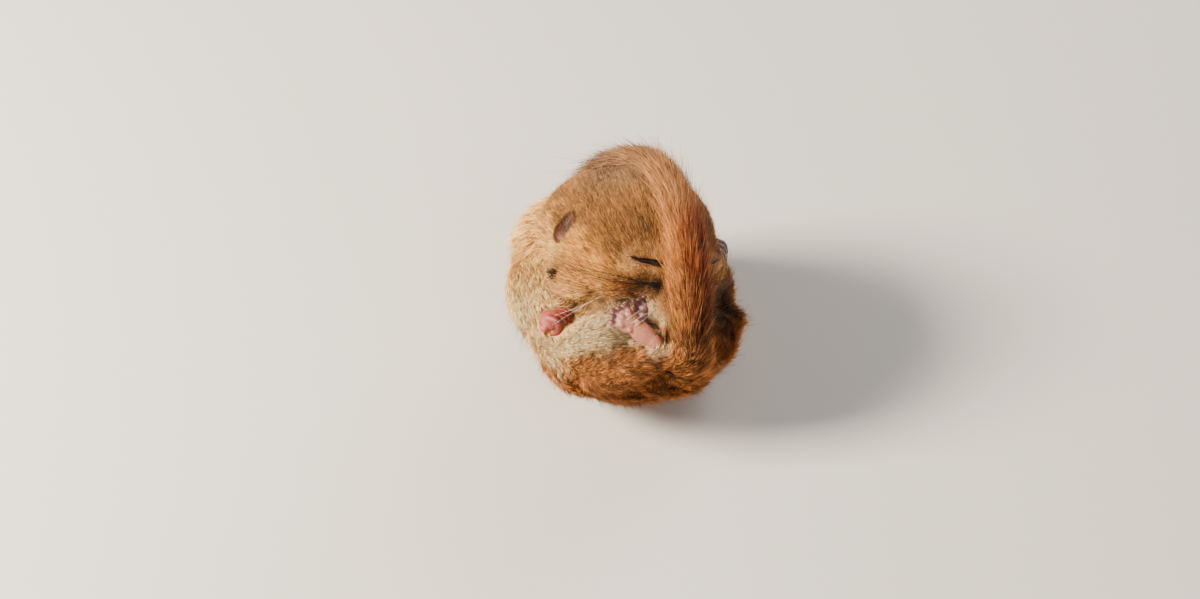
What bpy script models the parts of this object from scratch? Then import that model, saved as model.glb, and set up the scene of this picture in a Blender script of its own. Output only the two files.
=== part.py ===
"""A hazel dormouse asleep, curled in a ball, life size.

Metres, +Z up. The forms are laid out in millimetres in the animal's own frame, with its spine curled
in the plane between its two sides: X runs to its right, Y to the front where the face and the feet
meet, and Z up to the crown. REST then turns and tips the finished ball to lie on its back and rump.
"""

import math
import random

import bmesh
import bpy
from mathutils import Matrix, Vector
from mathutils.bvhtree import BVHTree

MM = 0.001
GAP = 0.30
TURN_DEG = 209.0
TIP_DEG = -50.0
REST = Matrix.Rotation(math.radians(TIP_DEG), 4, "X") @ Matrix.Rotation(math.radians(TURN_DEG), 4, "Z")

# The depth of coat pressed flat where the ball lies, and a block far larger than the ball.
FLAT_DEPTH = 0.9
FLOOR_BLOCK = 80.0

# The head: the middle and the half sizes of each of its forms, on the right where it is one of a pair.
HEAD_TIP = 42.0
SKULL = Vector((0.0, 5.5, 6.5))
SKULL_RADII = (12.2, 12.8, 10.6)
MUZZLE = Vector((0.0, 12.8, -2.2))
MUZZLE_RADII = (5.2, 5.0, 5.2)
SNOUT = Vector((0.0, 14.3, -4.4))
SNOUT_RADII = (3.9, 3.1, 3.4)
LIP = Vector((2.5, 13.4, -4.6))
LIP_RADII = (2.9, 2.9, 2.7)
CHEEK = Vector((6.2, 8.4, 1.2))
CHEEK_RADII = (6.8, 7.2, 6.0)
TEMPLE = Vector((8.4, 2.0, 2.8))
TEMPLE_RADII = (7.2, 8.2, 7.4)
JOWL = Vector((10.6, 2.8, 0.9))
JOWL_RADII = (5.6, 7.0, 5.4)
JOWL_EDGE = Vector((12.2, 2.4, -0.9))
JOWL_EDGE_RADII = (4.6, 6.0, 4.4)
JAW = Vector((0.0, 10.6, -6.4))
JAW_RADII = (3.9, 4.6, 2.5)
JAW_TIP = 20.0
CHIN = Vector((0.0, 13.0, -7.7))
CHIN_RADII = (2.2, 2.0, 1.5)

# The nose pad and its nostrils.
NOSE = Vector((0.0, 15.4, -7.3))
NOSE_RADII = (1.5, 1.1, 1.1)
NOSTRIL = Vector((0.62, 1.0, -0.15))
NOSTRIL_RADII = (0.30, 0.42, 0.24)

# The shut eyes: a low mound of lids with a bent slit across it.
EYE = Vector((6.4, 14.9, 1.7))
EYE_AHEAD = Vector((-0.86, 0.36, -0.36))
EYE_HALF = 3.3
LID_HALF = 2.0
LID_DEPTH = 1.2
LID_SINK = 0.55
SLIT_HALF = 0.18
SLIT_DEPTH = 0.5
SLIT_BEND = 0.45

# The ears, folded back.
EAR = Vector((12.0, 0.8, 7.6))
EAR_AHEAD = Vector((-0.17, 0.15, 0.97))
EAR_RADII = (1.9, 3.1, 1.4)
EAR_RISE = 0.3
EAR_WALL = 0.6
CUP = Vector((0.35, 0.0, 1.2))
CUP_DEPTH = 1.3

# The trunk, from the nape round the back to the root of the tail.
NAPE = Vector((0.0, -3.6, 9.0))
NAPE_RADII = (14.6, 10.0, 10.2)
SHOULDERS = Vector((0.0, -9.3, 4.0))
SHOULDER_RADII = (17.8, 10.7, 12.5)
BACK = Vector((0.0, -8.8, -4.0))
BACK_RADII = (17.8, 12.6, 13.2)
HAUNCHES = Vector((-1.3, -1.2, -10.4))
HAUNCH_RADII = (17.6, 13.4, 12.7)
CROUP = Vector((-2.8, 7.5, -14.2))
CROUP_RADII = (10.0, 8.0, 7.6)
BELLY = Vector((0.0, 4.5, -7.5))
BELLY_RADII = (13.0, 9.0, 5.5)

# The soft limbs: the line that each one follows, and its radii from end to end.
LIMBS = {
    "right_forearm": (((15.0, -7.5, -1.0), (16.2, -5.5, -5.5), (15.6, -0.8, -7.2)), (5.0, 4.4, 2.9)),
    "left_forearm": (((-15.0, -4.5, -3.5), (-15.8, 1.5, -4.0), (-14.6, 5.5, -0.5)), (5.0, 4.4, 2.9)),
    "right_thigh": (((7.9, -4.0, -13.0), (9.9, 1.5, -14.6), (10.2, 5.5, -15.8)), (7.6, 6.6, 5.0)),
    "left_thigh": (((-11.0, -4.0, -11.5), (-14.2, 0.8, -11.6), (-16.0, 3.6, -8.2)), (7.6, 6.6, 4.8)),
    "right_shank": (((10.2, 7.0, -16.4), (7.5, 11.5, -15.8), (4.4, 14.4, -14.4)), (4.2, 3.7, 2.6)),
    "left_shank": (((-13.2, 6.5, -10.2), (-10.2, 10.6, -11.8), (-7.0, 13.0, -12.6)), (4.2, 3.7, 2.6)),
}
# The folds of belly skin between each forepaw and its knee, in the same way.
FLANKS = {
    "right_flank": ((13.6, -3.2, -10.9), (13.5, 3.8, -12.0), (10.4, 9.6, -9.9), (7.6, 13.0, -10.1)),
    "left_flank": ((-14.0, -1.0, -13.0), (-12.0, 5.0, -12.0), (-8.0, 10.0, -10.9), (-6.0, 12.0, -10.0)),
}
FLANK_RADII = (4.9, 4.7, 4.2, 1.5)

# The fingers of a forepaw and the toes of a hind foot, side by side across it.
FINGERS = 4
FINGER_STEP = 1.3
FINGER_RADII = (0.78, 0.82, 0.72, 0.62)
TOES = 5
TOE_STEP = 0.75
TOE_REACH = 9.6
TOE_RADII = (0.62, 0.58, 0.55)
PAD_RADII = (0.62, 0.75, 0.45)

# The tail: a half width and a half thickness over the coat, and the line that it follows.
TAIL_HALF_WIDTH = 4.5
TAIL_HALF_THICKNESS = 2.9
TAIL_LINE = (
    (-3.2, 11.4, -17.8),
    (-1.7, 16.1, -14.2),
    (-0.4, 18.7, -9.4),
    (0.4, 19.7, -3.0),
    (0.7, 19.4, 3.3),
    (0.8, 17.9, 8.8),
    (0.8, 14.4, 14.2),
    (0.9, 9.9, 17.8),
    (1.3, 4.4, 19.6),
    (2.4, -1.2, 19.5),
    (3.8, -6.0, 17.8),
)
TAIL_NODES = ("tail_base", "tail_middle", "tail_upper", "tail_tip")
TAIL_CUTS = (0.27, 0.53, 0.78)
TAIL_SLAB = 14.0
TAIL_LENGTH = 58.0
TAIL_REACH = 1.12
TAIL_TIP_RADIUS = 1.3
TAIL_BEADS = 60

# The tail's core under its locks: how far it fills the coat, and the share of the tail near its root
# over which it narrows to that from the full width.
CORE_WIDTH = 0.52
CORE_OUTER = 0.30
CORE_ROOT = 0.10

# The tail's locks: a row every so far along it, spread round its outer side. Each station of a lock is
# how far along it lies, how far it has risen through the coat, and how wide it is there. No lock
# wraps round the tail by more than LOCK_WRAP radians to each side. The sag is how far a straight stretch
# of a lock on the inner side may stand nearer the head than the coat does.
LOCK_ROW = 6.6
LOCKS_ACROSS = 6
LOCK_SPREAD_DEG = 112.0
LOCK_LENGTH = 14.0
LOCK_HALF_WIDTH = 2.3
LOCK_THICKNESS = 0.8
LOCK_STATIONS = ((0.0, 0.25, 0.65), (0.28, 0.78, 1.0), (0.62, 1.0, 0.86), (1.0, 0.93, 0.0))
LOCK_WRAP = 0.7
LOCK_SAG = 0.3
LOCK_SEED = 11

# The spine curls round this centre. Thin cuts spread from it at these angles, up from the front.
CURL = Vector((0.0, -1.5, -1.0))
CURL_RADIUS = 9.0
BODY_CUTS = (-38.0, 112.0, 146.0, 236.0)
BODY_NODES = (("head", 40.0), ("neck", 129.0), ("torso", 190.0), ("rump", 280.0))
BODY_SLAB = 32.0
SCRAP = 20.0
WELD = 0.015

# About how many triangles a node of each kind comes down to, after its neighbours have cut it.
NODE_TRIANGLES = {"head": 1900, "rump": 900, "torso": 700, "neck": 420}
LIMB_TRIANGLES = 290
PAW_TRIANGLES = 560
SHARP_DEG = 45.0

FUR_ORANGE = (0.55, 0.27, 0.09)
FUR_CREAM = (0.80, 0.70, 0.50)
SKIN_PINK = (0.78, 0.42, 0.38)
LID_BROWN = (0.36, 0.20, 0.10)


def clear_scene():
    """Removes whatever the open file holds."""
    for item in list(bpy.data.objects):
        bpy.data.objects.remove(item, do_unlink=True)


def collection(name):
    """A new collection in the scene."""
    made = bpy.data.collections.new(name)
    bpy.context.scene.collection.children.link(made)
    return made


def material(name, colour, roughness):
    """A plain Principled material."""
    made = bpy.data.materials.new(name)
    made.use_nodes = True
    shader = made.node_tree.nodes["Principled BSDF"]
    shader.inputs["Base Color"].default_value = (*colour, 1.0)
    shader.inputs["Roughness"].default_value = roughness
    shader.inputs["Metallic"].default_value = 0.0
    return made


def ellipsoid(bm, centre, radii, tip=0.0, turn=0.0, roll=0.0, fineness=3):
    """Adds an ellipsoid. Tip lowers its front end, turn swings it about Z, roll leans it sideways."""
    place = Matrix.Translation(Vector(centre) * MM)
    place = place @ Matrix.Rotation(math.radians(turn), 4, "Z")
    place = place @ Matrix.Rotation(math.radians(-tip), 4, "X")
    place = place @ Matrix.Rotation(math.radians(roll), 4, "Y")
    size = Matrix.Diagonal((radii[0] * MM, radii[1] * MM, radii[2] * MM, 1.0))
    bmesh.ops.create_icosphere(bm, subdivisions=fineness, radius=1.0, matrix=place @ size)


def along(points, share):
    """The point at a share of the way along a smooth line through the points."""
    last = len(points) - 1
    place = min(max(share, 0.0), 1.0) * last
    step = min(int(place), last - 1)
    t = place - step
    before = Vector(points[max(step - 1, 0)])
    start = Vector(points[step])
    end = Vector(points[step + 1])
    after = Vector(points[min(step + 2, last)])
    bend = (
        2.0 * start
        + (end - before) * t
        + (2.0 * before - 5.0 * start + 4.0 * end - after) * t * t
        + (3.0 * start - before - 3.0 * end + after) * t * t * t
    )
    return bend * 0.5


def stroke(bm, points, radii, beads, flat=1.0):
    """Adds a run of overlapping beads along a smooth line. Flat widens each one sideways."""
    rows = [(radius, 0.0, 0.0) for radius in radii]
    for index in range(beads):
        share = index / (beads - 1)
        radius = along(rows, share)[0]
        ellipsoid(bm, along(points, share), (radius * flat, radius, radius), fineness=2)


def mirrored(point, side):
    """A point on the animal's right side, or its twin on the left."""
    return (point[0] * side, point[1], point[2])


def evaluated(item):
    """Applies the modifiers of an object."""
    graph = bpy.context.evaluated_depsgraph_get()
    mesh = bpy.data.meshes.new_from_object(item.evaluated_get(graph))
    item.modifiers.clear()
    old = item.data
    item.data = mesh
    bpy.data.meshes.remove(old)
    return item


def add_object(name, bm, group):
    """Makes an object of a bmesh."""
    mesh = bpy.data.meshes.new(name)
    bm.to_mesh(mesh)
    bm.free()
    item = bpy.data.objects.new(name, mesh)
    group.objects.link(item)
    return item


def fuse(item, voxel, passes, triangles):
    """Melts overlapping forms into one smooth closed skin of about so many triangles."""
    remesh = item.modifiers.new("melt", "REMESH")
    remesh.mode = "VOXEL"
    remesh.voxel_size = voxel * MM
    smooth = item.modifiers.new("smooth", "SMOOTH")
    smooth.factor = 0.5
    smooth.iterations = passes
    evaluated(item)
    keep_largest(item)
    thin = item.modifiers.new("thin", "DECIMATE")
    thin.ratio = min(1.0, triangles / max(1, 2 * len(item.data.polygons)))
    thin.use_collapse_triangulate = True
    return evaluated(item)


def closed(item):
    """Whether every edge of an object joins just two faces."""
    bm = bmesh.new()
    bm.from_mesh(item.data)
    whole = all(len(edge.link_faces) == 2 for edge in bm.edges)
    bm.free()
    return whole


def thin_out(item, triangles):
    """Brings a cut form down towards so many triangles, as far as it stays closed."""
    full = item.data.copy()
    for attempt in range(4):
        goal = triangles * (1.0 + 0.35 * attempt)
        faces = sum(len(face.vertices) - 2 for face in full.polygons)
        if goal >= faces:
            break
        item.data = full.copy()
        thin = item.modifiers.new("thin", "DECIMATE")
        thin.ratio = goal / faces
        thin.use_collapse_triangulate = True
        keep_largest(evaluated(item))
        if closed(item):
            return item
    item.data = full
    return item


def keep_largest(item):
    """Keeps only the largest closed surface."""
    return keep_shell(item, shell_volume)


def keep_shell(item, worth):
    """Keeps only the closed surface that is worth most."""
    bm = bmesh.new()
    bm.from_mesh(item.data)
    unseen = set(bm.verts)
    shells = []
    while unseen:
        shell = set()
        edge = [unseen.pop()]
        while edge:
            vert = edge.pop()
            shell.add(vert)
            for link in vert.link_edges:
                other = link.other_vert(vert)
                if other in unseen:
                    unseen.remove(other)
                    edge.append(other)
        shells.append(shell)
    shells.sort(key=worth)
    loose = [vert for shell in shells[:-1] for vert in shell]
    bmesh.ops.delete(bm, geom=loose, context="VERTS")
    bm.to_mesh(item.data)
    bm.free()
    return item


def shell_distance(shell, point):
    """The distance from a point to the middle of a closed surface."""
    middle = Vector((0.0, 0.0, 0.0))
    for vert in shell:
        middle += vert.co
    return (middle / len(shell) - point).length


def shell_volume(shell):
    """The volume inside one closed surface."""
    faces = {face for vert in shell for face in vert.link_faces}
    total = 0.0
    for face in faces:
        first = face.verts[0].co
        for one, two in zip(face.verts[1:-1], face.verts[2:]):
            total += first.dot(one.co.cross(two.co)) / 6.0
    return abs(total)


def grown(item, gap, group):
    """A copy of an object, larger by the gap all round, and coarser where the object is a small one."""
    bm = bmesh.new()
    bm.from_mesh(item.data)
    made = add_object(item.name + "_clearance", bm, group)
    if item.name in SMALL:
        fuse(made, 0.45, 1, 150)
        gap = gap + 0.12
    bm = bmesh.new()
    bm.from_mesh(made.data)
    bm.normal_update()
    for vert in bm.verts:
        vert.co += vert.normal * gap * MM
    bm.to_mesh(made.data)
    bm.free()
    made.hide_render = True
    made.display_type = "WIRE"
    return made


def boolean(item, group, operation, solver="EXACT", keep=True):
    """Joins or cuts an object with every object of a collection, and removes them."""
    change = item.modifiers.new(operation.lower(), "BOOLEAN")
    change.operation = operation
    change.operand_type = "COLLECTION"
    change.collection = group
    change.solver = solver
    evaluated(item)
    for cutter in list(group.objects):
        bpy.data.objects.remove(cutter, do_unlink=True)
    if not closed(item):
        weld(item)
    return keep_largest(item) if keep else item


def weld(item):
    """Merges points that a cut has left a hair apart."""
    bm = bmesh.new()
    bm.from_mesh(item.data)
    bmesh.ops.remove_doubles(bm, verts=bm.verts, dist=WELD * MM)
    bm.to_mesh(item.data)
    bm.free()


def overlaps(one, two):
    """Whether the boxes of two objects meet."""
    low_one, high_one = box(one)
    low_two, high_two = box(two)
    return all(low_one[i] < high_two[i] and low_two[i] < high_one[i] for i in range(3))


def box(item):
    """The lowest and highest corners of an object's mesh."""
    corners = [vert.co for vert in item.data.vertices]
    low = [min(point[i] for point in corners) for i in range(3)]
    high = [max(point[i] for point in corners) for i in range(3)]
    return low, high


def head(bm):
    """The skull, muzzle, cheeks and jowls under one coat."""
    ellipsoid(bm, SKULL, SKULL_RADII, tip=HEAD_TIP)
    ellipsoid(bm, MUZZLE, MUZZLE_RADII, tip=HEAD_TIP)
    ellipsoid(bm, SNOUT, SNOUT_RADII)
    for side in (1.0, -1.0):
        ellipsoid(bm, mirrored(LIP, side), LIP_RADII)
        ellipsoid(bm, mirrored(CHEEK, side), CHEEK_RADII)
        ellipsoid(bm, mirrored(TEMPLE, side), TEMPLE_RADII)
        ellipsoid(bm, mirrored(JOWL, side), JOWL_RADII)
        ellipsoid(bm, mirrored(JOWL_EDGE, side), JOWL_EDGE_RADII)


def trunk(bm):
    """The nape, shoulders, back, haunches and croup, out to the root of the tail."""
    ellipsoid(bm, NAPE, NAPE_RADII)
    ellipsoid(bm, SHOULDERS, SHOULDER_RADII)
    ellipsoid(bm, BACK, BACK_RADII)
    ellipsoid(bm, HAUNCHES, HAUNCH_RADII)
    ellipsoid(bm, CROUP, CROUP_RADII)


def lower_jaw(bm):
    """The chin and lower lip, shut under the muzzle."""
    ellipsoid(bm, JAW, JAW_RADII, tip=JAW_TIP)
    ellipsoid(bm, CHIN, CHIN_RADII)


def belly(bm):
    """The belly, which fills the ring of the curled body."""
    ellipsoid(bm, BELLY, BELLY_RADII)


def paw_place(origin, ahead, palm):
    """The frame of a paw: X across, Y towards its toes, Z out of its palm."""
    forward = Vector(ahead).normalized()
    out = Vector(palm)
    out = (out - forward * out.dot(forward)).normalized()
    across = forward.cross(out)
    turn = Matrix((across, forward, out)).transposed().to_4x4()
    return Matrix.Translation(Vector(origin) * MM) @ turn


def forepaw(bm):
    """A clenched forepaw: its back, the heel of its palm, four curled fingers and the thumb's knob."""
    ellipsoid(bm, (0.0, 0.3, 0.2), (2.5, 2.5, 1.9))
    ellipsoid(bm, (0.0, -1.9, 0.0), (1.9, 1.8, 1.6))
    for index in range(FINGERS):
        across = (index - (FINGERS - 1) / 2.0) * FINGER_STEP
        knuckle = 1.9 - 0.25 * abs(index - 1.4)
        line = (
            (across, knuckle - 1.0, -0.9),
            (across, knuckle + 0.7, -0.3),
            (across * 0.95, knuckle + 0.8, 1.2),
            (across * 0.85, knuckle - 0.7, 2.1),
        )
        stroke(bm, line, FINGER_RADII, 12)
    ellipsoid(bm, (-2.1, -0.6, 1.2), (0.8, 0.9, 0.8))


def hind_foot(bm):
    """A hind foot seen from its sole: the heel, the long sole with its pads, and five toes."""
    ellipsoid(bm, (0.0, 0.2, 0.0), (1.35, 1.8, 1.1))
    ellipsoid(bm, (0.0, 3.2, 0.0), (1.5, 3.6, 1.0))
    ellipsoid(bm, (0.0, 6.2, 0.0), (1.75, 2.3, 1.0))
    for index in range(TOES):
        across = (index - (TOES - 1) / 2.0) * TOE_STEP
        reach = TOE_REACH - 0.5 * abs(index - 2)
        line = (
            (across * 0.8, 6.8, 0.0),
            (across * 1.2, 8.3, -0.1),
            (across * 1.15, reach, 0.5),
        )
        stroke(bm, line, TOE_RADII, 8)
    for across, forward in ((-1.0, 6.6), (0.0, 7.0), (1.0, 6.6), (-0.9, 4.9), (0.9, 4.7), (0.0, 2.6)):
        ellipsoid(bm, (across, forward, 0.75), PAD_RADII, fineness=2)


PAWS = {
    "right_forepaw": (forepaw, (15.6, 2.2, -7.9), (-0.45, 0.80, -0.15), (-0.25, -0.25, -0.95)),
    "left_forepaw": (forepaw, (-12.8, 8.3, 2.6), (0.45, 0.55, 0.65), (0.75, -0.6, 0.1)),
    "right_hind_foot": (hind_foot, (4.4, 16.5, -12.0), (0.713, -0.347, 0.604), (0.484, 0.875, 0.0)),
    "left_hind_foot": (hind_foot, (-3.6, 14.2, -10.6), (0.85, -0.1, 0.5), (0.3, 0.9, -0.1)),
}
SMALL = (*PAWS, "right_eye", "left_eye", "right_ear", "left_ear", "nose")


def paw(name, group):
    """One paw or foot, at its place."""
    shape, origin, ahead, palm = PAWS[name]
    bm = bmesh.new()
    shape(bm)
    item = fuse(add_object(name, bm, group), 0.28, 2, PAW_TRIANGLES)
    item.data.transform(paw_place(origin, ahead, palm))
    return item


def lumps(group):
    """The soft forms apart from the head and trunk."""
    made = {}
    for name, shape, voxel, passes, triangles in (
        ("lower_jaw", lower_jaw, 0.4, 4, 220),
        ("belly", belly, 0.9, 6, 300),
    ):
        bm = bmesh.new()
        shape(bm)
        made[name] = fuse(add_object(name, bm, group), voxel, passes, triangles)
    for name, (line, radii) in LIMBS.items():
        bm = bmesh.new()
        stroke(bm, line, radii, 12)
        made[name] = fuse(add_object(name, bm, group), 0.6, 7, LIMB_TRIANGLES)
    for name, line in FLANKS.items():
        bm = bmesh.new()
        stroke(bm, line, FLANK_RADII, 16)
        made[name] = fuse(add_object(name, bm, group), 0.6, 6, LIMB_TRIANGLES)
    for name in PAWS:
        made[name] = paw(name, group)
    return made


def body(group):
    """The head, neck, torso and rump, modelled whole and parted by thin cuts out from the curl's centre."""
    bm = bmesh.new()
    head(bm)
    trunk(bm)
    whole = fuse(add_object("body", bm, group), 0.75, 12, 2200)
    cutters = collection("body_cutters")
    for angle in BODY_CUTS:
        body_cutter(angle, cutters)
    boolean(whole, cutters, "DIFFERENCE", keep=False)
    bpy.data.collections.remove(cutters)
    made = {}
    for name, angle in BODY_NODES:
        item = whole.copy()
        item.data = whole.data.copy()
        item.name = name
        group.objects.link(item)
        spot = (CURL + spoke(angle) * CURL_RADIUS) * MM
        made[name] = keep_shell(item, lambda shell: -shell_distance(shell, spot))
    bpy.data.objects.remove(whole, do_unlink=True)
    return made


def spoke(angle):
    """The direction from the curl's centre at an angle up from the front."""
    return Vector((0.0, math.cos(math.radians(angle)), math.sin(math.radians(angle))))


def body_cutter(angle, group):
    """A thin slab from the curl's centre out past the coat."""
    centre = CURL + spoke(angle) * (BODY_SLAB / 2.0 - GAP)
    size = Matrix.Diagonal((2.0 * BODY_SLAB * MM, BODY_SLAB * MM, GAP * MM, 1.0))
    turn = Matrix.Rotation(math.radians(angle), 4, "X")
    bm = bmesh.new()
    bmesh.ops.create_cube(bm, size=1.0, matrix=Matrix.Translation(centre * MM) @ turn @ size)
    cutter = add_object("body_cutter", bm, group)
    cutter.hide_render = True
    cutter.display_type = "WIRE"
    return cutter


def surface(item, point):
    """Where the line from the skull's middle through a point leaves an object, and the way it faces."""
    bm = bmesh.new()
    bm.from_mesh(item.data)
    tree = BVHTree.FromBMesh(bm)
    bm.free()
    inward = (SKULL - point).normalized()
    spot, normal, _, _ = tree.ray_cast((point - inward * 10.0) * MM, inward)
    return spot / MM, normal


def place_on(spot, ahead, normal):
    """A frame on a surface: Y along the part, Z out of the surface."""
    forward = (ahead - normal * ahead.dot(normal)).normalized()
    turn = Matrix((forward.cross(normal), forward, normal)).transposed().to_4x4()
    return Matrix.Translation(spot * MM) @ turn


def closed_eye(side, skin, group):
    """The shut lids over one eye, with the slit where they meet."""
    bm = bmesh.new()
    ellipsoid(bm, (0.0, 0.0, -LID_SINK), (LID_HALF, EYE_HALF, LID_DEPTH))
    item = add_object("right_eye" if side > 0 else "left_eye", bm, group)
    cutters = collection("slit_cutters")
    bm = bmesh.new()
    for step in range(-9, 10):
        share = step / 10.0
        across = side * SLIT_BEND * (0.6 - share * share)
        high = LID_DEPTH * math.sqrt(1.0 - share * share) - LID_SINK
        ellipsoid(bm, (across, EYE_HALF * share, high), (SLIT_HALF, SLIT_DEPTH, SLIT_DEPTH), fineness=2)
    fuse(add_object("slit_cutter", bm, cutters), 0.12, 1, 200)
    boolean(item, cutters, "DIFFERENCE")
    bpy.data.collections.remove(cutters)
    spot, normal = surface(skin, Vector(mirrored(EYE, side)))
    ahead = Vector(mirrored(EYE_AHEAD, side))
    item.data.transform(place_on(spot, ahead, normal))
    return item


def ear(side, skin, group):
    """One ear, folded back on the head: a thin cup with a rolled rim."""
    bm = bmesh.new()
    ellipsoid(bm, (0.0, 0.0, EAR_RISE), EAR_RADII)
    item = add_object("right_ear" if side > 0 else "left_ear", bm, group)
    cutters = collection("ear_cutters")
    bm = bmesh.new()
    ellipsoid(bm, mirrored(CUP, side), (EAR_RADII[0] - EAR_WALL, EAR_RADII[1] - EAR_WALL, CUP_DEPTH))
    add_object("ear_cutter", bm, cutters)
    boolean(item, cutters, "DIFFERENCE")
    bpy.data.collections.remove(cutters)
    spot, normal = surface(skin, Vector(mirrored(EAR, side)))
    item.data.transform(place_on(spot, EAR_AHEAD, normal))
    return item


def nose(group):
    """The bare nose pad, with its two nostrils."""
    bm = bmesh.new()
    ellipsoid(bm, NOSE, NOSE_RADII, fineness=2)
    item = add_object("nose", bm, group)
    cutters = collection("nostril_cutters")
    for side in (1.0, -1.0):
        bm = bmesh.new()
        ellipsoid(bm, NOSE + Vector(mirrored(NOSTRIL, side)), NOSTRIL_RADII, fineness=2)
        add_object("nostril_cutter", bm, cutters)
    boolean(item, cutters, "DIFFERENCE")
    bpy.data.collections.remove(cutters)
    return item


def tail_half_width(share):
    """The half width of the tail's coat at a share of its length."""
    swell = math.sin(math.pi * min(1.0, 0.30 + 0.72 * share)) ** 0.35
    return TAIL_HALF_WIDTH * max(0.25, swell)


def tail_frame(share):
    """The tail's centre at a share of its length, with its heading, its outer side and its flank."""
    here = min(max(share, 0.02), 0.97)
    heading = (along(TAIL_LINE, here + 0.01) - along(TAIL_LINE, here - 0.01)).normalized()
    outer = heading.cross(Vector((1.0, 0.0, 0.0))).normalized()
    centre = along(TAIL_LINE, here) + heading * (share - here) * TAIL_LENGTH
    return centre, heading, outer, outer.cross(heading)


def coat_radius(share, angle):
    """How far the coat's tips stand from the tail's centre at an angle from its outer side."""
    half = tail_half_width(share)
    thick = TAIL_HALF_THICKNESS * half / TAIL_HALF_WIDTH
    return 1.0 / math.hypot(math.cos(angle) / thick, math.sin(angle) / half)


def core_share(share):
    """How much of the tail's width its core fills at a share of its length."""
    return CORE_WIDTH + (1.0 - CORE_WIDTH) * max(0.0, 1.0 - share / CORE_ROOT)


def tail_form(name, group, cored, triangles):
    """A smooth form along the tail: the core under the locks, or the whole of the coat."""
    bm = bmesh.new()
    for index in range(TAIL_BEADS):
        share = index / (TAIL_BEADS - 1) * (1.0 if cored else TAIL_REACH)
        half = tail_half_width(share)
        thick = TAIL_HALF_THICKNESS * half / TAIL_HALF_WIDTH
        centre, _, outer, _ = tail_frame(share)
        if cored:
            fill = core_share(share)
            high = CORE_OUTER + (1.0 - CORE_OUTER) * (fill - CORE_WIDTH) / (1.0 - CORE_WIDTH)
            centre = centre - outer * thick * (1.0 - high) / 2.0
            half = half * fill
            thick = thick * (1.0 + high) / 2.0
        half = max(half, TAIL_TIP_RADIUS)
        thick = max(thick, TAIL_TIP_RADIUS)
        ellipsoid(bm, centre, (half, thick, thick), fineness=2)
    return fuse(add_object(name, bm, group), 0.5, 3, triangles)


def tail_lock(share, angle, length, lift, group):
    """One flat tapered lock, rooted in the core and laid back along the tail."""
    bm = bmesh.new()
    rings = []
    for reach, rise, girth in LOCK_STATIONS:
        here = min(share + reach * length / TAIL_LENGTH, TAIL_REACH)
        centre, _, outer, flank = tail_frame(here)
        wrap = min(LOCK_HALF_WIDTH / coat_radius(here, angle), LOCK_WRAP)
        corners = []
        for turn, depth in ((1.0, LOCK_THICKNESS), (0.0, 0.0), (-1.0, LOCK_THICKNESS)):
            bearing = angle + turn * girth * wrap
            out = outer * math.cos(bearing) + flank * math.sin(bearing)
            corners.append(centre + out * rise * (coat_radius(here, bearing) * lift - depth * girth))
        if girth == 0.0:
            tip = bm.verts.new(corners[0] * MM)
        else:
            rings.append([bm.verts.new(corner * MM) for corner in corners])
    bm.faces.new(rings[0])
    for index in range(3):
        after = (index + 1) % 3
        for one, two in zip(rings[:-1], rings[1:]):
            bm.faces.new((one[index], one[after], two[after], two[index]))
        bm.faces.new((rings[-1][index], rings[-1][after], tip))
    bmesh.ops.recalc_face_normals(bm, faces=bm.faces)
    bmesh.ops.triangulate(bm, faces=bm.faces)
    return add_object("tail_lock", bm, group)


def tail_locks(group):
    """The tail's locks, row after row, with those of each row set between those of the last."""
    draw = random.Random(LOCK_SEED)
    for row in range(int(TAIL_LENGTH / LOCK_ROW)):
        across = LOCKS_ACROSS - row % 2
        for index in range(across):
            place = 2.0 * index / (across - 1) - 1.0
            angle = math.radians(LOCK_SPREAD_DEG * place * (1.0 - 0.08 * (row % 2)) + draw.uniform(-5.0, 5.0))
            share = max(0.0, row - 0.3 + draw.uniform(-0.2, 0.2)) * LOCK_ROW / TAIL_LENGTH
            tail_lock(share, angle, LOCK_LENGTH * draw.uniform(0.88, 1.08), draw.uniform(0.93, 1.0), group)


def tail(group):
    """The tail: a core and its locks, fused, then parted by thin cuts into lengths."""
    whole = tail_form("tail", group, True, 420)
    locks = collection("tail_locks")
    tail_locks(locks)
    boolean(whole, locks, "UNION")
    bpy.data.collections.remove(locks)
    cutters = collection("tail_cutters")
    for share in TAIL_CUTS:
        tail_cutter(share, cutters)
    boolean(whole, cutters, "DIFFERENCE", keep=False)
    bpy.data.collections.remove(cutters)
    made = {}
    bounds = (0.0, *TAIL_CUTS, 1.0)
    for index, name in enumerate(TAIL_NODES):
        item = whole.copy()
        item.data = whole.data.copy()
        item.name = name
        group.objects.link(item)
        middle = along(TAIL_LINE, 0.5 * (bounds[index] + bounds[index + 1])) * MM
        made[name] = keep_shell(item, lambda shell: near_and_large(shell, middle))
    bpy.data.objects.remove(whole, do_unlink=True)
    return made


def near_and_large(shell, point):
    """Ranks a closed surface by how near it is to a point, with loose scraps last."""
    scrap = shell_volume(shell) < SCRAP * MM ** 3
    return -shell_distance(shell, point) - (1.0 if scrap else 0.0)


def tail_cutter(share, group):
    """A thin slab across the tail, which parts two of its lengths."""
    here = along(TAIL_LINE, share)
    heading = (along(TAIL_LINE, share + 0.01) - along(TAIL_LINE, share - 0.01)).normalized()
    turn = heading.to_track_quat("Z", "Y").to_matrix().to_4x4()
    bm = bmesh.new()
    size = Matrix.Diagonal((TAIL_SLAB * MM, TAIL_SLAB * MM, GAP * MM, 1.0))
    bmesh.ops.create_cube(bm, size=1.0, matrix=Matrix.Translation(here * MM) @ turn @ size)
    cutter = add_object("tail_cutter", bm, group)
    cutter.hide_render = True
    cutter.display_type = "WIRE"
    return cutter


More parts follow.
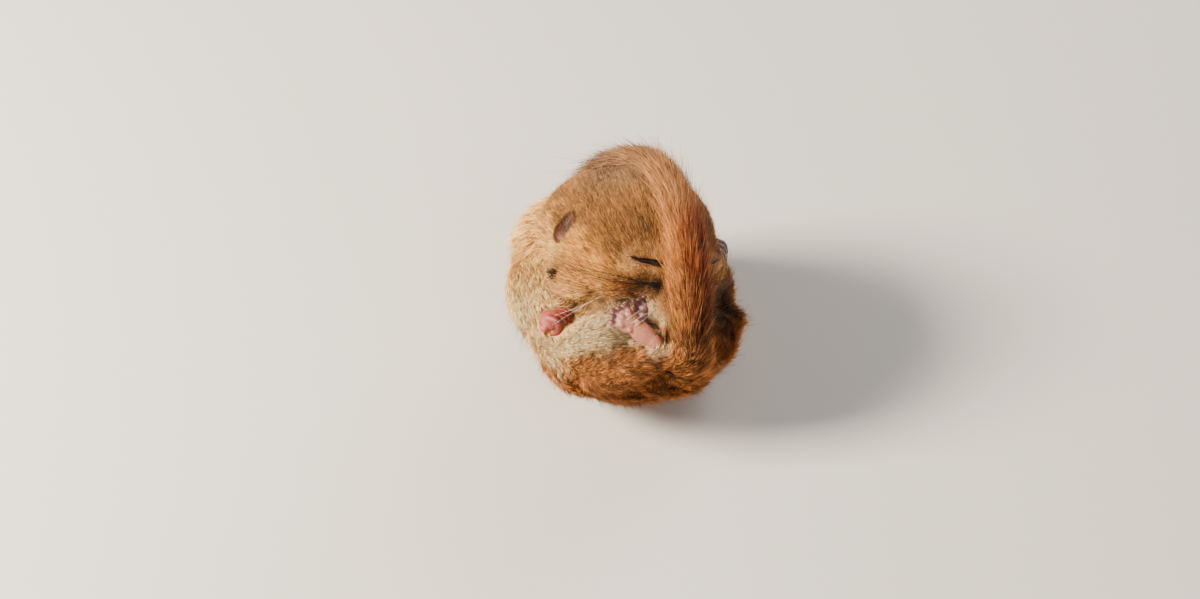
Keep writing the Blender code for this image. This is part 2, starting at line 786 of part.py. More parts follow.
def settle(made, group):
    """Turns the ball to its rest, flattens the coat it lies on and centres it over its own origin."""
    for item in made.values():
        item.data.transform(REST)
    floor = min(box(item)[0][2] for item in made.values()) + FLAT_DEPTH * MM
    for item in made.values():
        if box(item)[0][2] < floor:
            cutters = collection("floor_cutters")
            bm = bmesh.new()
            place = Matrix.Translation((0.0, 0.0, floor - FLOOR_BLOCK * MM / 2.0))
            bmesh.ops.create_cube(bm, size=FLOOR_BLOCK * MM, matrix=place)
            add_object("floor_cutter", bm, cutters)
            boolean(item, cutters, "DIFFERENCE")
            bpy.data.collections.remove(cutters)
    boxes = [box(item) for item in made.values()]
    middle = [(min(low[i] for low, _ in boxes) + max(high[i] for _, high in boxes)) / 2.0 for i in (0, 1)]
    for item in made.values():
        item.data.transform(Matrix.Translation((-middle[0], -middle[1], -floor)))


def main():
    clear_scene()
    animal = collection("hazel_dormouse")
    made = lumps(animal)
    made.update(body(animal))
    for side in (1.0, -1.0):
        for item in (closed_eye(side, made["head"], animal), ear(side, made["head"], animal)):
            made[item.name] = item
    made["nose"] = nose(animal)
    made.update(tail(animal))
    order = (
        "right_eye", "left_eye", "right_ear", "left_ear", "nose",
        "right_forepaw", "left_forepaw", "right_hind_foot", "left_hind_foot",
        *TAIL_NODES,
        "lower_jaw", "right_forearm", "left_forearm", "head",
        "right_shank", "left_shank", "right_thigh", "left_thigh",
        "right_flank", "left_flank", "neck", "rump", "torso", "belly",
    )
    copies = collection("copies")
    grown_copies = {name: grown(made[name], GAP, copies) for name in order if name not in TAIL_NODES}
    envelope = tail_form("tail_envelope", copies, False, 900)
    grown_copies[TAIL_NODES[0]] = grown(envelope, GAP + LOCK_SAG, copies)
    for index, name in enumerate(order):
        cutters = collection("cutters_" + name)
        for other in order[:index]:
            if {name, other} <= set(TAIL_NODES) or {name, other} <= set(dict(BODY_NODES)):
                continue
            if other in grown_copies and overlaps(grown_copies[other], made[name]):
                cutter = grown_copies[other].copy()
                cutter.data = grown_copies[other].data.copy()
                cutters.objects.link(cutter)
        if cutters.objects:
            boolean(made[name], cutters, "DIFFERENCE")
        bpy.data.collections.remove(cutters)
    for item in list(copies.objects):
        bpy.data.objects.remove(item, do_unlink=True)
    for name, item in made.items():
        if name not in SMALL and name not in TAIL_NODES:
            thin_out(item, NODE_TRIANGLES.get(name, LIMB_TRIANGLES))
    settle(made, animal)
    bare = {"nose": SKIN_PINK, "right_ear": SKIN_PINK, "left_ear": SKIN_PINK}
    bare.update({name: SKIN_PINK for name in PAWS})
    bare.update({"right_eye": LID_BROWN, "left_eye": LID_BROWN})
    pale = ("belly", "lower_jaw", *FLANKS)
    for name, item in made.items():
        colour = bare.get(name, FUR_CREAM if name in pale else FUR_ORANGE)
        item.data.materials.clear()
        item.data.materials.append(material(name, colour, 0.55 if name in bare else 0.85))
        item.data.shade_smooth()
        item.data.set_sharp_from_angle(angle=math.radians(SHARP_DEG))


main()
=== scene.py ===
import math

import bmesh
import bpy
import numpy as np
from mathutils import Matrix, Vector
from mathutils.bvhtree import BVHTree
from mathutils.kdtree import KDTree


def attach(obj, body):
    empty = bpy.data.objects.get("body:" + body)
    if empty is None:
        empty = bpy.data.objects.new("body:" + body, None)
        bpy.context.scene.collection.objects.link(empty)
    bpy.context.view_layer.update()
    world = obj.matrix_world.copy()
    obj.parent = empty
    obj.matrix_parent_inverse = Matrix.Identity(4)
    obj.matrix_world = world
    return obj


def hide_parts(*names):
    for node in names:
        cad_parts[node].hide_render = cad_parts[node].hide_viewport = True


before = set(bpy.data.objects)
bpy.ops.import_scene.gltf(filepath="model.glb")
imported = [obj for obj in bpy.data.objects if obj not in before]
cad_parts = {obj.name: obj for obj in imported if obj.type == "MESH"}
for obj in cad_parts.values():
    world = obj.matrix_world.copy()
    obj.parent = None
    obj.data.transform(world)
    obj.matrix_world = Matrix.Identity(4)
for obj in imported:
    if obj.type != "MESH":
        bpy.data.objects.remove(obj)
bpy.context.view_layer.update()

# The lie of the ball. Every form is laid out in millimetres in the animal's own frame, X to its right,
# Y to its front and Z up to its crown. LIE puts that frame into the row's frame, as the ball rests.
MIDDLE = Vector((0.604, 1.848, 21.038))
TURN = Matrix.Rotation(math.radians(-50.0), 4, "X") @ Matrix.Rotation(math.radians(209.0), 4, "Z")
LIE = Matrix.Scale(0.001, 4) @ Matrix.Translation(MIDDLE) @ TURN


def at_rest(points):
    """Points of the animal's frame, as an array of rows, in the row's frame."""
    lie = np.array(LIE)
    return np.asarray(points) @ lie[:3, :3].T + lie[:3, 3]


def linear(red, green, blue):
    """A colour as the eye reads it, from 0 to 255, in the values that a shader takes."""
    tones = np.array((red, green, blue)) / 255.0
    return np.where(tones <= 0.04045, tones / 12.92, ((tones + 0.055) / 1.055) ** 2.4)


# The camera, above the face and the feet as in the photograph, a quarter of a metre from the ball. One
# pixel of the photograph is 0.172 mm at the ball's middle, which lies right of and above its centre.
CAMERA_AWAY = 0.250
CAMERA_TILT = 50.0
SENSOR_WIDTH = 36.0
PHOTO_WIDTH = 1200.0
PIXEL = 0.000172
MIDDLE_RIGHT = 30.0
MIDDLE_UP = 25.5
tilt = math.radians(CAMERA_TILT)
camera_back = Vector((0.0, -math.cos(tilt), math.sin(tilt)))
camera_up = Vector((0.0, math.sin(tilt), math.cos(tilt)))
camera_aim = MIDDLE * 0.001 - Vector((MIDDLE_RIGHT * PIXEL, 0.0, 0.0)) - camera_up * MIDDLE_UP * PIXEL
camera = bpy.data.objects.new("camera", bpy.data.cameras.new("camera"))
bpy.context.scene.collection.objects.link(camera)
camera.location = camera_aim + camera_back * CAMERA_AWAY
camera.rotation_euler = (math.radians(90.0 - CAMERA_TILT), 0.0, 0.0)
camera.data.sensor_width = SENSOR_WIDTH
camera.data.lens = SENSOR_WIDTH * CAMERA_AWAY / (PHOTO_WIDTH * PIXEL)
camera.data.clip_start = 0.01
camera.data.clip_end = 10.0
bpy.context.scene.camera = camera

# The skin. One closed hide runs over the whole animal, from the muzzle to the end of the tail. It is the
# body's solids melted into one form and drawn in by the depth of the coat, with the thin flesh of the
# tail laid along the middle of the tail's coat.
HIDE = (
    "head", "lower_jaw", "right_eye", "left_eye", "neck", "torso", "rump", "belly",
    "right_flank", "left_flank", "right_forearm", "left_forearm",
    "right_thigh", "left_thigh", "right_shank", "left_shank",
)
TAIL_NODES = ("tail_base", "tail_middle", "tail_upper", "tail_tip")
TAIL_LINE = (
    (-3.2, 11.4, -17.8),
    (-1.7, 16.1, -14.2),
    (-0.4, 18.7, -9.4),
    (0.4, 19.7, -3.0),
    (0.7, 19.4, 3.3),
    (0.8, 17.9, 8.8),
    (0.7, 14.3, 14.1),
    (0.8, 9.8, 17.6),
    (1.3, 4.4, 19.3),
    (2.6, -1.2, 19.4),
    (4.6, -6.4, 17.9),
)
TAIL_HALF_WIDTH = 2.1
TAIL_HALF_THICKNESS = 1.35
TAIL_BEAD_LENGTH = 1.2
TAIL_BEADS = 101
HIDE_GROWN = 0.25
HIDE_VOXEL = 0.42
BARE_NODES = {
    "right_forepaw": "right_forearm", "left_forepaw": "head",
    "right_hind_foot": "belly", "left_hind_foot": "belly", "nose": "lower_jaw",
}
SOCKET_FILL = 0.40
BARE_SUNK = 1.1
THIN_SHARE = 0.36
THICKEST = 8.0
# The bed is the flesh that the tail lies on. It rises under the tail's upper half, over the crown.
BED_BEADS = 81
BED_END = 0.92
BED_SINK = 3.6
BED_RAISED = 0.75
BED_RAISED_FROM = 0.45
BED_RAISED_OVER = 0.15
BED_RADII = (4.6, 1.4, 2.2)
ROOT_SHARE = 0.15
ROOT_RADII = (5.2, 2.2, 3.6)
# Under each node: the coat's depth, the length of its hairs, how far they stand from the skin in
# degrees at the root and at the tip, how close they grow, how far their tips draw together into clumps,
# and the share of hairs with a black tip.
COAT = {
    "head": (0.75, 1.9, 30.0, 9.0, 1.65, 0.16, 0.24),
    "lower_jaw": (0.6, 1.4, 36.0, 14.0, 1.3, 0.12, 0.04),
    "right_eye": (0.25, 0.8, 26.0, 7.0, 1.9, 0.05, 0.08),
    "left_eye": (0.25, 0.8, 26.0, 7.0, 1.6, 0.05, 0.08),
    "neck": (1.2, 3.1, 40.0, 18.0, 1.30, 0.14, 0.03),
    "torso": (1.4, 3.6, 38.0, 15.0, 0.75, 0.26, 0.12),
    "rump": (1.3, 2.6, 38.0, 15.0, 1.10, 0.34, 0.20),
    "belly": (1.1, 1.5, 36.0, 14.0, 1.3, 0.12, 0.12),
    "right_flank": (1.3, 1.6, 40.0, 16.0, 1.9, 0.12, 0.07),
    "left_flank": (1.3, 2.6, 38.0, 14.0, 0.9, 0.18, 0.10),
    "right_forearm": (1.0, 2.2, 36.0, 13.0, 1.35, 0.16, 0.01),
    "left_forearm": (1.0, 2.4, 36.0, 13.0, 0.9, 0.18, 0.06),
    "right_thigh": (1.2, 2.3, 44.0, 18.0, 1.45, 0.40, 0.20),
    "left_thigh": (1.2, 2.9, 42.0, 17.0, 0.95, 0.34, 0.16),
    "right_shank": (0.8, 1.7, 38.0, 15.0, 1.6, 0.36, 0.20),
    "left_shank": (0.8, 2.0, 38.0, 15.0, 1.0, 0.30, 0.18),
    "tail": (0.0, 4.8, 27.0, 9.0, 2.6, 0.15, 0.09),
}
KINDS = tuple(COAT)
# Where more of the hairs have a black tip: the end of the flank, the thigh, the cheek and the tail's root.
SPECKLED = (
    ((8.8, 13.6, -10.2), 4.5, 0.36),
    ((11.6, 8.6, -11.0), 3.5, 0.12),
    ((6.8, 14.9, -15.0), 3.0, 0.06),
    ((0.0, 15.0, -15.5), 3.5, 0.22),
    ((14.0, 4.5, -2.5), 3.0, 0.06),
)


def along(line, share):
    """The point at a share of the way along a smooth line through some points."""
    place = min(max(share, 0.0), 1.0) * (len(line) - 1)
    step = min(int(place), len(line) - 2)
    t = place - step
    before, start, end, after = (
        Vector(line[min(max(index, 0), len(line) - 1)]) for index in range(step - 1, step + 3)
    )
    return 0.5 * (
        2.0 * start
        + (end - before) * t
        + (2.0 * before - 5.0 * start + 4.0 * end - after) * t * t
        + (3.0 * start - before - 3.0 * end + after) * t * t * t
    )


def tail_frame(share):
    """The middle of the tail at a share of its length, with its heading, its outer side and its flank."""
    here = min(max(share, 0.02), 0.98)
    heading = (along(TAIL_LINE, here + 0.01) - along(TAIL_LINE, here - 0.01)).normalized()
    outer = heading.cross(Vector((1.0, 0.0, 0.0))).normalized()
    return along(TAIL_LINE, share), heading, outer, outer.cross(heading)


def tail_fullness(share):
    """How full the tail is at a share of its length, against its widest place."""
    return max(0.25, math.sin(math.pi * min(1.0, 0.30 + 0.72 * share)) ** 0.35)


def node_form(name):
    """A copy of a node's mesh in the animal's frame, with its points merged."""
    bm = bmesh.new()
    bm.from_mesh(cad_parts[name].data)
    bmesh.ops.remove_doubles(bm, verts=bm.verts, dist=1e-6)
    bmesh.ops.transform(bm, matrix=LIE.inverted(), verts=bm.verts)
    return bm


def bead(bm, centre, radii, turn=None, fineness=3):
    """Adds an ellipsoid to a form."""
    place = Matrix.Translation(Vector(centre))
    if turn is not None:
        place = place @ turn
    size = Matrix.Diagonal((radii[0], radii[1], radii[2], 1.0))
    return bmesh.ops.create_icosphere(bm, subdivisions=fineness, radius=1.0, matrix=place @ size)["verts"]


def piece_of(bm, name):
    """Makes an object of a form."""
    mesh = bpy.data.meshes.new(name)
    bm.to_mesh(mesh)
    bm.free()
    piece = bpy.data.objects.new(name, mesh)
    bpy.context.scene.collection.objects.link(piece)
    return piece


def melted(piece, voxel, rounds):
    """Melts overlapping forms into one smooth skin, and keeps its largest closed surface."""
    melt = piece.modifiers.new("melt", "REMESH")
    melt.mode = "VOXEL"
    melt.voxel_size = voxel
    soften = piece.modifiers.new("soften", "SMOOTH")
    soften.factor = 0.5
    soften.iterations = rounds
    made = bpy.data.meshes.new_from_object(piece.evaluated_get(bpy.context.evaluated_depsgraph_get()))
    piece.modifiers.clear()
    piece.data = made
    bm = bmesh.new()
    bm.from_mesh(made)
    unseen = set(bm.verts)
    shells = []
    while unseen:
        shell = []
        edge = [unseen.pop()]
        while edge:
            vert = edge.pop()
            shell.append(vert)
            for link in vert.link_edges:
                other = link.other_vert(vert)
                if other in unseen:
                    unseen.remove(other)
                    edge.append(other)
        shells.append(shell)
    shells.sort(key=len)
    bmesh.ops.delete(bm, geom=[vert for shell in shells[:-1] for vert in shell], context="VERTS")
    bm.to_mesh(made)
    bm.free()
    return piece


def points_of(mesh):
    """The points of a mesh, as an array of rows."""
    points = np.empty(len(mesh.vertices) * 3)
    mesh.vertices.foreach_get("co", points)
    return points.reshape(-1, 3)


def facing(mesh):
    """The way that a mesh faces at each of its points."""
    ways = np.empty(len(mesh.vertices) * 3, np.float32)
    mesh.vertices.foreach_get("normal", ways)
    return ways.reshape(-1, 3).astype(float)


def ends_of(mesh):
    """The two points of each edge of a mesh, as an array of rows."""
    ends = np.empty(len(mesh.edges) * 2, np.int64)
    mesh.edges.foreach_get("vertices", ends)
    return ends.reshape(-1, 2)


def spread(values, ends, rounds):
    """Softens values held at a mesh's points, so that they run into one another."""
    values = np.array(values, float)
    number = len(values)
    flat = values.reshape(number, -1)
    links = np.maximum(np.bincount(ends.ravel(), minlength=number), 1)[:, None]
    for _ in range(rounds):
        total = np.zeros_like(flat)
        for column in range(flat.shape[1]):
            total[:, column] = np.bincount(ends[:, 0], flat[ends[:, 1], column], number)
            total[:, column] += np.bincount(ends[:, 1], flat[ends[:, 0], column], number)
        flat = 0.4 * flat + 0.6 * total / links
    return flat.reshape(values.shape)


def bell(away, reach):
    """How strongly something acts at a distance: 1 at none, and hardly at all past twice its reach."""
    return np.exp(-((away / reach) ** 2))


def near_place(points, centre, reach):
    """How strongly something round a place acts on each point."""
    return bell(np.linalg.norm(points - np.array(centre), axis=1), reach)


def thicknesses(mesh, most):
    """How thick a closed form is under each of its points, up to a limit."""
    bm = bmesh.new()
    bm.from_mesh(mesh)
    tree = BVHTree.FromBMesh(bm)
    found = []
    for vert in bm.verts:
        inward = -vert.normal
        away = tree.ray_cast(vert.co + inward * 0.05, inward, most)[3]
        found.append(most if away is None else away)
    bm.free()
    return np.array(found)


hide_form = bmesh.new()
marks = []
for name in (*HIDE, *BARE_NODES):
    form = node_form(name)
    form.normal_update()
    marks += [(vert.co.copy(), name) for vert in form.verts]
    marks += [(face.calc_center_median(), name) for face in form.faces]
    for vert in form.verts:
        vert.co += vert.normal * (HIDE_GROWN if name in HIDE else SOCKET_FILL)
    lump = bpy.data.meshes.new("lump")
    form.to_mesh(lump)
    form.free()
    hide_form.from_mesh(lump)
    bpy.data.meshes.remove(lump)
for step in range(BED_BEADS):
    share = BED_END * step / (BED_BEADS - 1)
    middle, heading, outer, flank = tail_frame(share)
    turn = Matrix((flank, heading, outer)).transposed().to_4x4()
    sink = BED_SINK - BED_RAISED * min(max((share - BED_RAISED_FROM) / BED_RAISED_OVER, 0.0), 1.0)
    bead(hide_form, middle - outer * sink, BED_RADII, turn, fineness=2)
    if share < ROOT_SHARE:
        made = bead(hide_form, middle, ROOT_RADII, turn, fineness=2)
        marks += [(vert.co.copy(), "rump") for vert in made]
near = KDTree(len(marks))
for index, (point, _) in enumerate(marks):
    near.insert(point, index)
near.balance()
depths = {name: values[0] + HIDE_GROWN for name, values in COAT.items()}
depths.update(dict.fromkeys(BARE_NODES, BARE_SUNK))
skin = melted(piece_of(hide_form, "skin"), HIDE_VOXEL, rounds=6)
spots = points_of(skin.data)
sunk = np.array([depths[marks[near.find(point)[1]][1]] for point in spots])
sunk = np.minimum(sunk, THIN_SHARE * thicknesses(skin.data, THICKEST))
sunk = spread(sunk, ends_of(skin.data), rounds=3)
skin.data.vertices.foreach_set("co", (spots - facing(skin.data) * sunk[:, None]).ravel())
skin.data.update()
skin = melted(skin, HIDE_VOXEL, rounds=4)
tail_form = bmesh.new()
for step in range(TAIL_BEADS):
    share = step / (TAIL_BEADS - 1)
    middle, heading, outer, flank = tail_frame(share)
    full = tail_fullness(share) * (1.25 - 0.65 * share)
    turn = Matrix((flank, heading, outer)).transposed().to_4x4()
    radii = (TAIL_HALF_WIDTH * full, TAIL_BEAD_LENGTH, TAIL_HALF_THICKNESS * full)
    bead(tail_form, middle, radii, turn, fineness=2)
tail_skin = melted(piece_of(tail_form, "tail_skin"), HIDE_VOXEL, rounds=3)
body_points = len(skin.data.vertices)
whole = bmesh.new()
whole.from_mesh(skin.data)
whole.from_mesh(tail_skin.data)
whole.to_mesh(skin.data)
whole.free()
bpy.data.objects.remove(tail_skin)

count = len(skin.data.vertices)
spots = points_of(skin.data)
nearest_node = [marks[near.find(point)[1]][1] for point in spots]
is_bare = np.array([name in BARE_NODES for name in nearest_node])
kind = np.array([KINDS.index(BARE_NODES.get(name, name)) for name in nearest_node])
kind[body_points:] = KINDS.index("tail")
is_bare[body_points:] = False
ends = ends_of(skin.data)
growth = spread(np.array([COAT[name] for name in KINDS])[kind], ends, rounds=5)
growth_length, growth_rise, growth_fall, growth_crowd, growth_pull, growth_black = growth.T[1:]
for centre, reach, most in SPECKLED:
    growth_black += most * near_place(spots, centre, reach)
on_tail = kind == KINDS.index("tail")
normals = facing(skin.data)

# The markings, the same on the skin and on the coat: tawny, greyer on the crown, pale on the neck and
# cream below. Each is a place with its reach, its colour and how strongly it covers. Those of the right
# side have a twin on the left, but for the one-sided ones of the folded limbs and the gaps between them.
# The near-black one-sided marks in the gaps and creases are painted shade.
TAWNY = linear(161, 104, 48)
GOLD = linear(222, 150, 66)
RUST = linear(138, 70, 24)
CROWN = linear(160, 126, 94)
OLIVE = linear(110, 72, 37)
BUFF = linear(249, 189, 112)
CREAM = linear(250, 212, 160)
UMBER = linear(70, 38, 18)
SLATE_AND_SHADE = linear(70, 56, 46)
AMBER = linear(190, 118, 60)
ORANGE = linear(138, 68, 25)
TAIL_SHADE_RED = linear(104, 40, 12)
ASH = linear(114, 86, 66)
FAWN = linear(150, 94, 74)
DUN = linear(162, 117, 78)
TAIL_HIGHLIGHT_STRAW = linear(216, 140, 70)
KIND_COLOURS = {
    "head": TAWNY, "lower_jaw": CREAM, "right_eye": TAWNY, "left_eye": TAWNY,
    "neck": BUFF, "torso": TAWNY, "rump": AMBER, "belly": CREAM,
    "right_flank": CREAM, "left_flank": CREAM, "right_forearm": BUFF, "left_forearm": BUFF,
    "right_thigh": AMBER, "left_thigh": AMBER, "right_shank": AMBER, "left_shank": RUST, "tail": ORANGE,
}
MARKINGS = (
    ((0.0, 3.0, 17.0), 8.0, CROWN, 0.85),
    ((4.6, 15.2, 3.6), 1.6, BUFF, 0.40),
    ((5.5, 14.4, 6.6), 2.8, OLIVE, 0.90),
    ((13.4, 5.0, 2.0), 3.2, GOLD, 0.60),
    ((10.8, 10.4, -0.2), 2.4, GOLD, 0.50),
    ((8.2, 14.4, 0.4), 1.6, BUFF, 0.60),
    ((5.4, 15.4, 0.2), 1.2, BUFF, 0.55),
    ((12.5, 5.6, 4.6), 2.2, GOLD, 1.0),
    ((12.4, 7.0, 2.6), 2.4, GOLD, 0.9),
    ((11.2, 9.8, 1.4), 2.2, GOLD, 0.9),
    ((14.6, 0.0, 3.4), 3.6, BUFF, 0.75),
    ((12.2, 1.6, 7.4), 1.6, RUST, 0.70),
    ((9.2, 13.4, -3.4), 2.4, RUST, 0.80),
    ((10.0, 12.6, 3.6), 1.5, UMBER, 0.70),
    ((3.0, 15.6, -1.8), 2.0, UMBER, 0.95),
    ((5.8, 15.2, -1.6), 1.2, UMBER, 0.50),
    ((12.4, 7.0, -4.5), 3.0, BUFF, 0.80),
    ((14.7, 3.5, 0.1), 1.6, UMBER * 0.08, 1.0),
    ((16.0, -3.0, 5.0), 6.0, BUFF, 0.7),
    ((0.0, -14.0, 12.0), 9.0, TAWNY, 0.8),
    ((7.5, 13.4, 7.5), 3.4, OLIVE, 0.40),
)
ONE_SIDED = (
    ((15.6, 0.6, -14.4), 2.6, CREAM, 0.90),
    ((18.2, -4.5, -6.0), 6.0, CREAM, 0.85),
    ((14.4, 4.0, -14.6), 1.8, BUFF, 0.40),
    ((8.0, 14.6, -9.8), 1.7, SLATE_AND_SHADE, 0.85),
    # Painted shade in the crease under the cheek, above the flank.
    ((11.7, 5.3, -5.3), 1.1, SLATE_AND_SHADE * 0.20, 0.85),
    ((9.2, 7.7, -5.1), 1.0, SLATE_AND_SHADE * 0.20, 0.80),
    ((7.4, 9.6, -5.1), 1.0, SLATE_AND_SHADE * 0.20, 0.80),
    ((9.6, 12.6, -9.6), 2.6, SLATE_AND_SHADE, 0.35),
    ((4.9, 16.2, -12.2), 1.7, CREAM, 0.85),
    # Painted shade in the gaps round the hind feet.
    ((4.8, 11.3, -6.8), 1.8, SLATE_AND_SHADE * 0.12, 0.95),
    ((6.4, 10.1, -5.4), 1.2, SLATE_AND_SHADE * 0.12, 0.90),
    # Painted shade beside the fist.
    ((13.0, 2.9, -6.0), 1.2, SLATE_AND_SHADE * 0.15, 0.90),
    ((3.2, 12.6, -9.0), 1.5, CREAM, 0.80),
    # Painted shade in the deep gap between the tail and the left thigh.
    ((-15.0, 6.0, -5.6), 3.4, SLATE_AND_SHADE * 0.05, 0.98),
    ((-12.0, 8.5, -7.5), 3.0, SLATE_AND_SHADE * 0.06, 0.95),
    ((-16.2, 5.5, -2.8), 2.8, FAWN, 0.85),
)


def over(tones, colour, share):
    """Tones with a colour laid over them by a share at each point."""
    return tones * (1.0 - share[:, None]) + colour * share[:, None]


tone = np.array([KIND_COLOURS[name] for name in KINDS])[kind]
tone = spread(tone, ends, rounds=14)
twins = [((-x, y, z), reach, colour, strength) for (x, y, z), reach, colour, strength in MARKINGS]
for centre, reach, colour, strength in (*MARKINGS, *twins, *ONE_SIDED):
    tone = over(tone, colour, strength * near_place(spots, centre, reach) * ~on_tail)

# The tail's own markings and its painted light, by the share of its length and by its side, from -1 to 1.
# It is dark at its root, with a painted shade of deep red along its middle and a painted highlight of straw
# yellow along its lit edge. Its end turns dun, then ash grey: for each of the two, where it starts, the
# share over which it grows, and the most that it covers.
TAIL_STATIONS = 200
TAIL_HIGHLIGHT_SLOPE = 0.8
TAIL_HIGHLIGHT_MOST = 0.80
SHADE_STRIPE_SIDE = -0.15
SHADE_STRIPE_HALF_WIDTH = 0.75
SHADE_STRIPE_MIDDLE = 0.33
SHADE_STRIPE_REACH = 0.20
SHADE_STRIPE_MOST = 0.95
DARK_MIDDLE = 0.11
DARK_REACH = 0.13
DARK_MOST = 0.72
TAIL_END_TONES = ((DUN, 0.40, 0.22, 0.60), (ASH, 0.60, 0.35, 0.75))
tail_points = KDTree(TAIL_STATIONS + 1)
for step in range(TAIL_STATIONS + 1):
    tail_points.insert(along(TAIL_LINE, step / TAIL_STATIONS), step)
tail_points.balance()
tail_share = np.zeros(count)
tail_side = np.zeros(count)
for index in np.nonzero(on_tail)[0]:
    tail_share[index] = tail_points.find(spots[index])[1] / TAIL_STATIONS
    middle, _, _, flank = tail_frame(tail_share[index])
    tail_side[index] = np.dot(spots[index] - np.array(middle), np.array(flank)) / TAIL_HALF_WIDTH
# Painted highlight: straw yellow laid along the tail's lit edge.
tone = over(tone, TAIL_HIGHLIGHT_STRAW, on_tail * np.clip(TAIL_HIGHLIGHT_SLOPE * tail_side, 0.0, TAIL_HIGHLIGHT_MOST))
# Painted shade: deep red along the tail's middle, low on the tail.
shade_stripe = bell(tail_side - SHADE_STRIPE_SIDE, SHADE_STRIPE_HALF_WIDTH) * bell(tail_share - SHADE_STRIPE_MIDDLE, SHADE_STRIPE_REACH)
tone = over(tone, TAIL_SHADE_RED, on_tail * SHADE_STRIPE_MOST * shade_stripe)
tone = over(tone, UMBER, on_tail * DARK_MOST * bell(tail_share - DARK_MIDDLE, DARK_REACH))
for colour, start, reach, most in TAIL_END_TONES:
    tone = over(tone, colour, on_tail * np.clip((tail_share - start) / reach, 0.0, most))


def ticking(points, scale, seed):
    """A soft random pattern from -1 to 1 over the body, by a few waves that cross."""
    draw = np.random.default_rng(seed)
    total = np.zeros(len(points))
    for _ in range(7):
        wave = draw.normal(size=3)
        wave /= np.linalg.norm(wave)
        total += np.sin(points @ wave * draw.uniform(0.7, 1.4) / scale + draw.uniform(0.0, 6.3))
    return total / 3.5


# The coat is patchy all over, and more so where its tips draw together: on the rump and the thighs.
PATCHY_LEAST = 0.09
PATCHY_MORE = 0.9
CLUMPED_FROM = 0.2
CLUMPED_OVER = 0.2
FINE_PATCHES = 0.30
BROAD_PATCHES = 0.55
PATCH_DARKEST = 0.3
PATCH_LIGHTEST = 1.5
clumped = np.clip(growth_pull - CLUMPED_FROM, 0.0, CLUMPED_OVER)
patchy = PATCHY_LEAST + PATCHY_MORE * clumped
patches = patchy * 2.0 * ticking(spots, FINE_PATCHES, 3) + patchy * ticking(spots, BROAD_PATCHES, 4)
tone = tone * np.clip(1.0 + patches, PATCH_DARKEST, PATCH_LIGHTEST)[:, None]

# The lie of the coat: back from the nose over the head, round the curled back to the rump, and down
# each limb and the tail to its end, where it splays to both sides.
NOSE = np.array((0.0, 15.4, -7.3))
CURL = np.array((0.0, -1.5, -1.0))
CURL_INWARD = 0.25
TAIL_SPLAY = 0.50
FACE_KINDS = ("head", "lower_jaw", "right_eye", "left_eye")
LIMB_LINES = {
    "right_forearm": ((15.0, -7.5, -1.0), (16.2, -5.5, -5.5), (15.6, -0.8, -7.2)),
    "left_forearm": ((-15.0, -4.5, -3.5), (-15.8, 1.5, -4.0), (-14.6, 5.5, -0.5)),
    "right_thigh": ((8.5, -4.0, -14.0), (10.6, 1.5, -15.6), (10.6, 5.5, -16.6)),
    "left_thigh": ((-11.0, -4.0, -11.5), (-14.2, 0.8, -11.6), (-16.0, 3.6, -8.2)),
    "right_shank": ((10.6, 7.0, -17.0), (7.5, 11.5, -15.8), (4.4, 14.4, -14.4)),
    "left_shank": ((-13.2, 6.5, -10.2), (-10.2, 10.6, -11.8), (-7.0, 13.0, -12.6)),
    "right_flank": ((15.2, -3.0, -12.8), (13.8, 4.0, -12.4), (10.4, 9.6, -9.9), (7.6, 13.0, -10.1)),
    "left_flank": ((-14.0, -1.0, -13.0), (-12.0, 5.0, -12.0), (-8.0, 10.0, -10.9), (-6.0, 12.0, -10.0)),
}
lie = np.zeros((count, 3))
for index, name in enumerate(KINDS):
    here = kind == index
    points = spots[here]
    if name in FACE_KINDS:
        way = points - NOSE
    elif name in LIMB_LINES:
        line = np.array(LIMB_LINES[name])
        way = np.repeat((line[-1] - line[0])[None, :], len(points), axis=0)
    elif name == "tail":
        frames = [tail_frame(share) for share in tail_share[here]]
        way = np.array([heading for _, heading, _, _ in frames]).reshape(-1, 3)
        sideways = np.array([flank for _, _, _, flank in frames]).reshape(-1, 3)
        way = way + TAIL_SPLAY * sideways * np.clip(tail_side[here], -1.0, 1.0)[:, None]
    else:
        out = (points - CURL) * (0.0, 1.0, 1.0)
        out /= np.linalg.norm(out, axis=1)[:, None]
        way = np.cross((1.0, 0.0, 0.0), out) - CURL_INWARD * out
    lie[here] = way / np.linalg.norm(way, axis=1)[:, None]


def laid(directions, normals):
    """Directions laid flat on the skin."""
    flat = directions - normals * np.sum(directions * normals, axis=1)[:, None]
    return flat / (np.linalg.norm(flat, axis=1)[:, None] + 1e-9)


SWEEP_LEAST = 0.12
SWEEP_MORE = 0.9
SWEEPS = 0.9
lie = laid(spread(laid(lie, normals), ends, rounds=10), normals)
sweep = SWEEP_LEAST + SWEEP_MORE * clumped / CLUMPED_OVER
turned = (sweep * ticking(spots, SWEEPS, 6))[:, None]
lie = laid(lie * np.cos(turned) + np.cross(normals, lie) * np.sin(turned), normals)

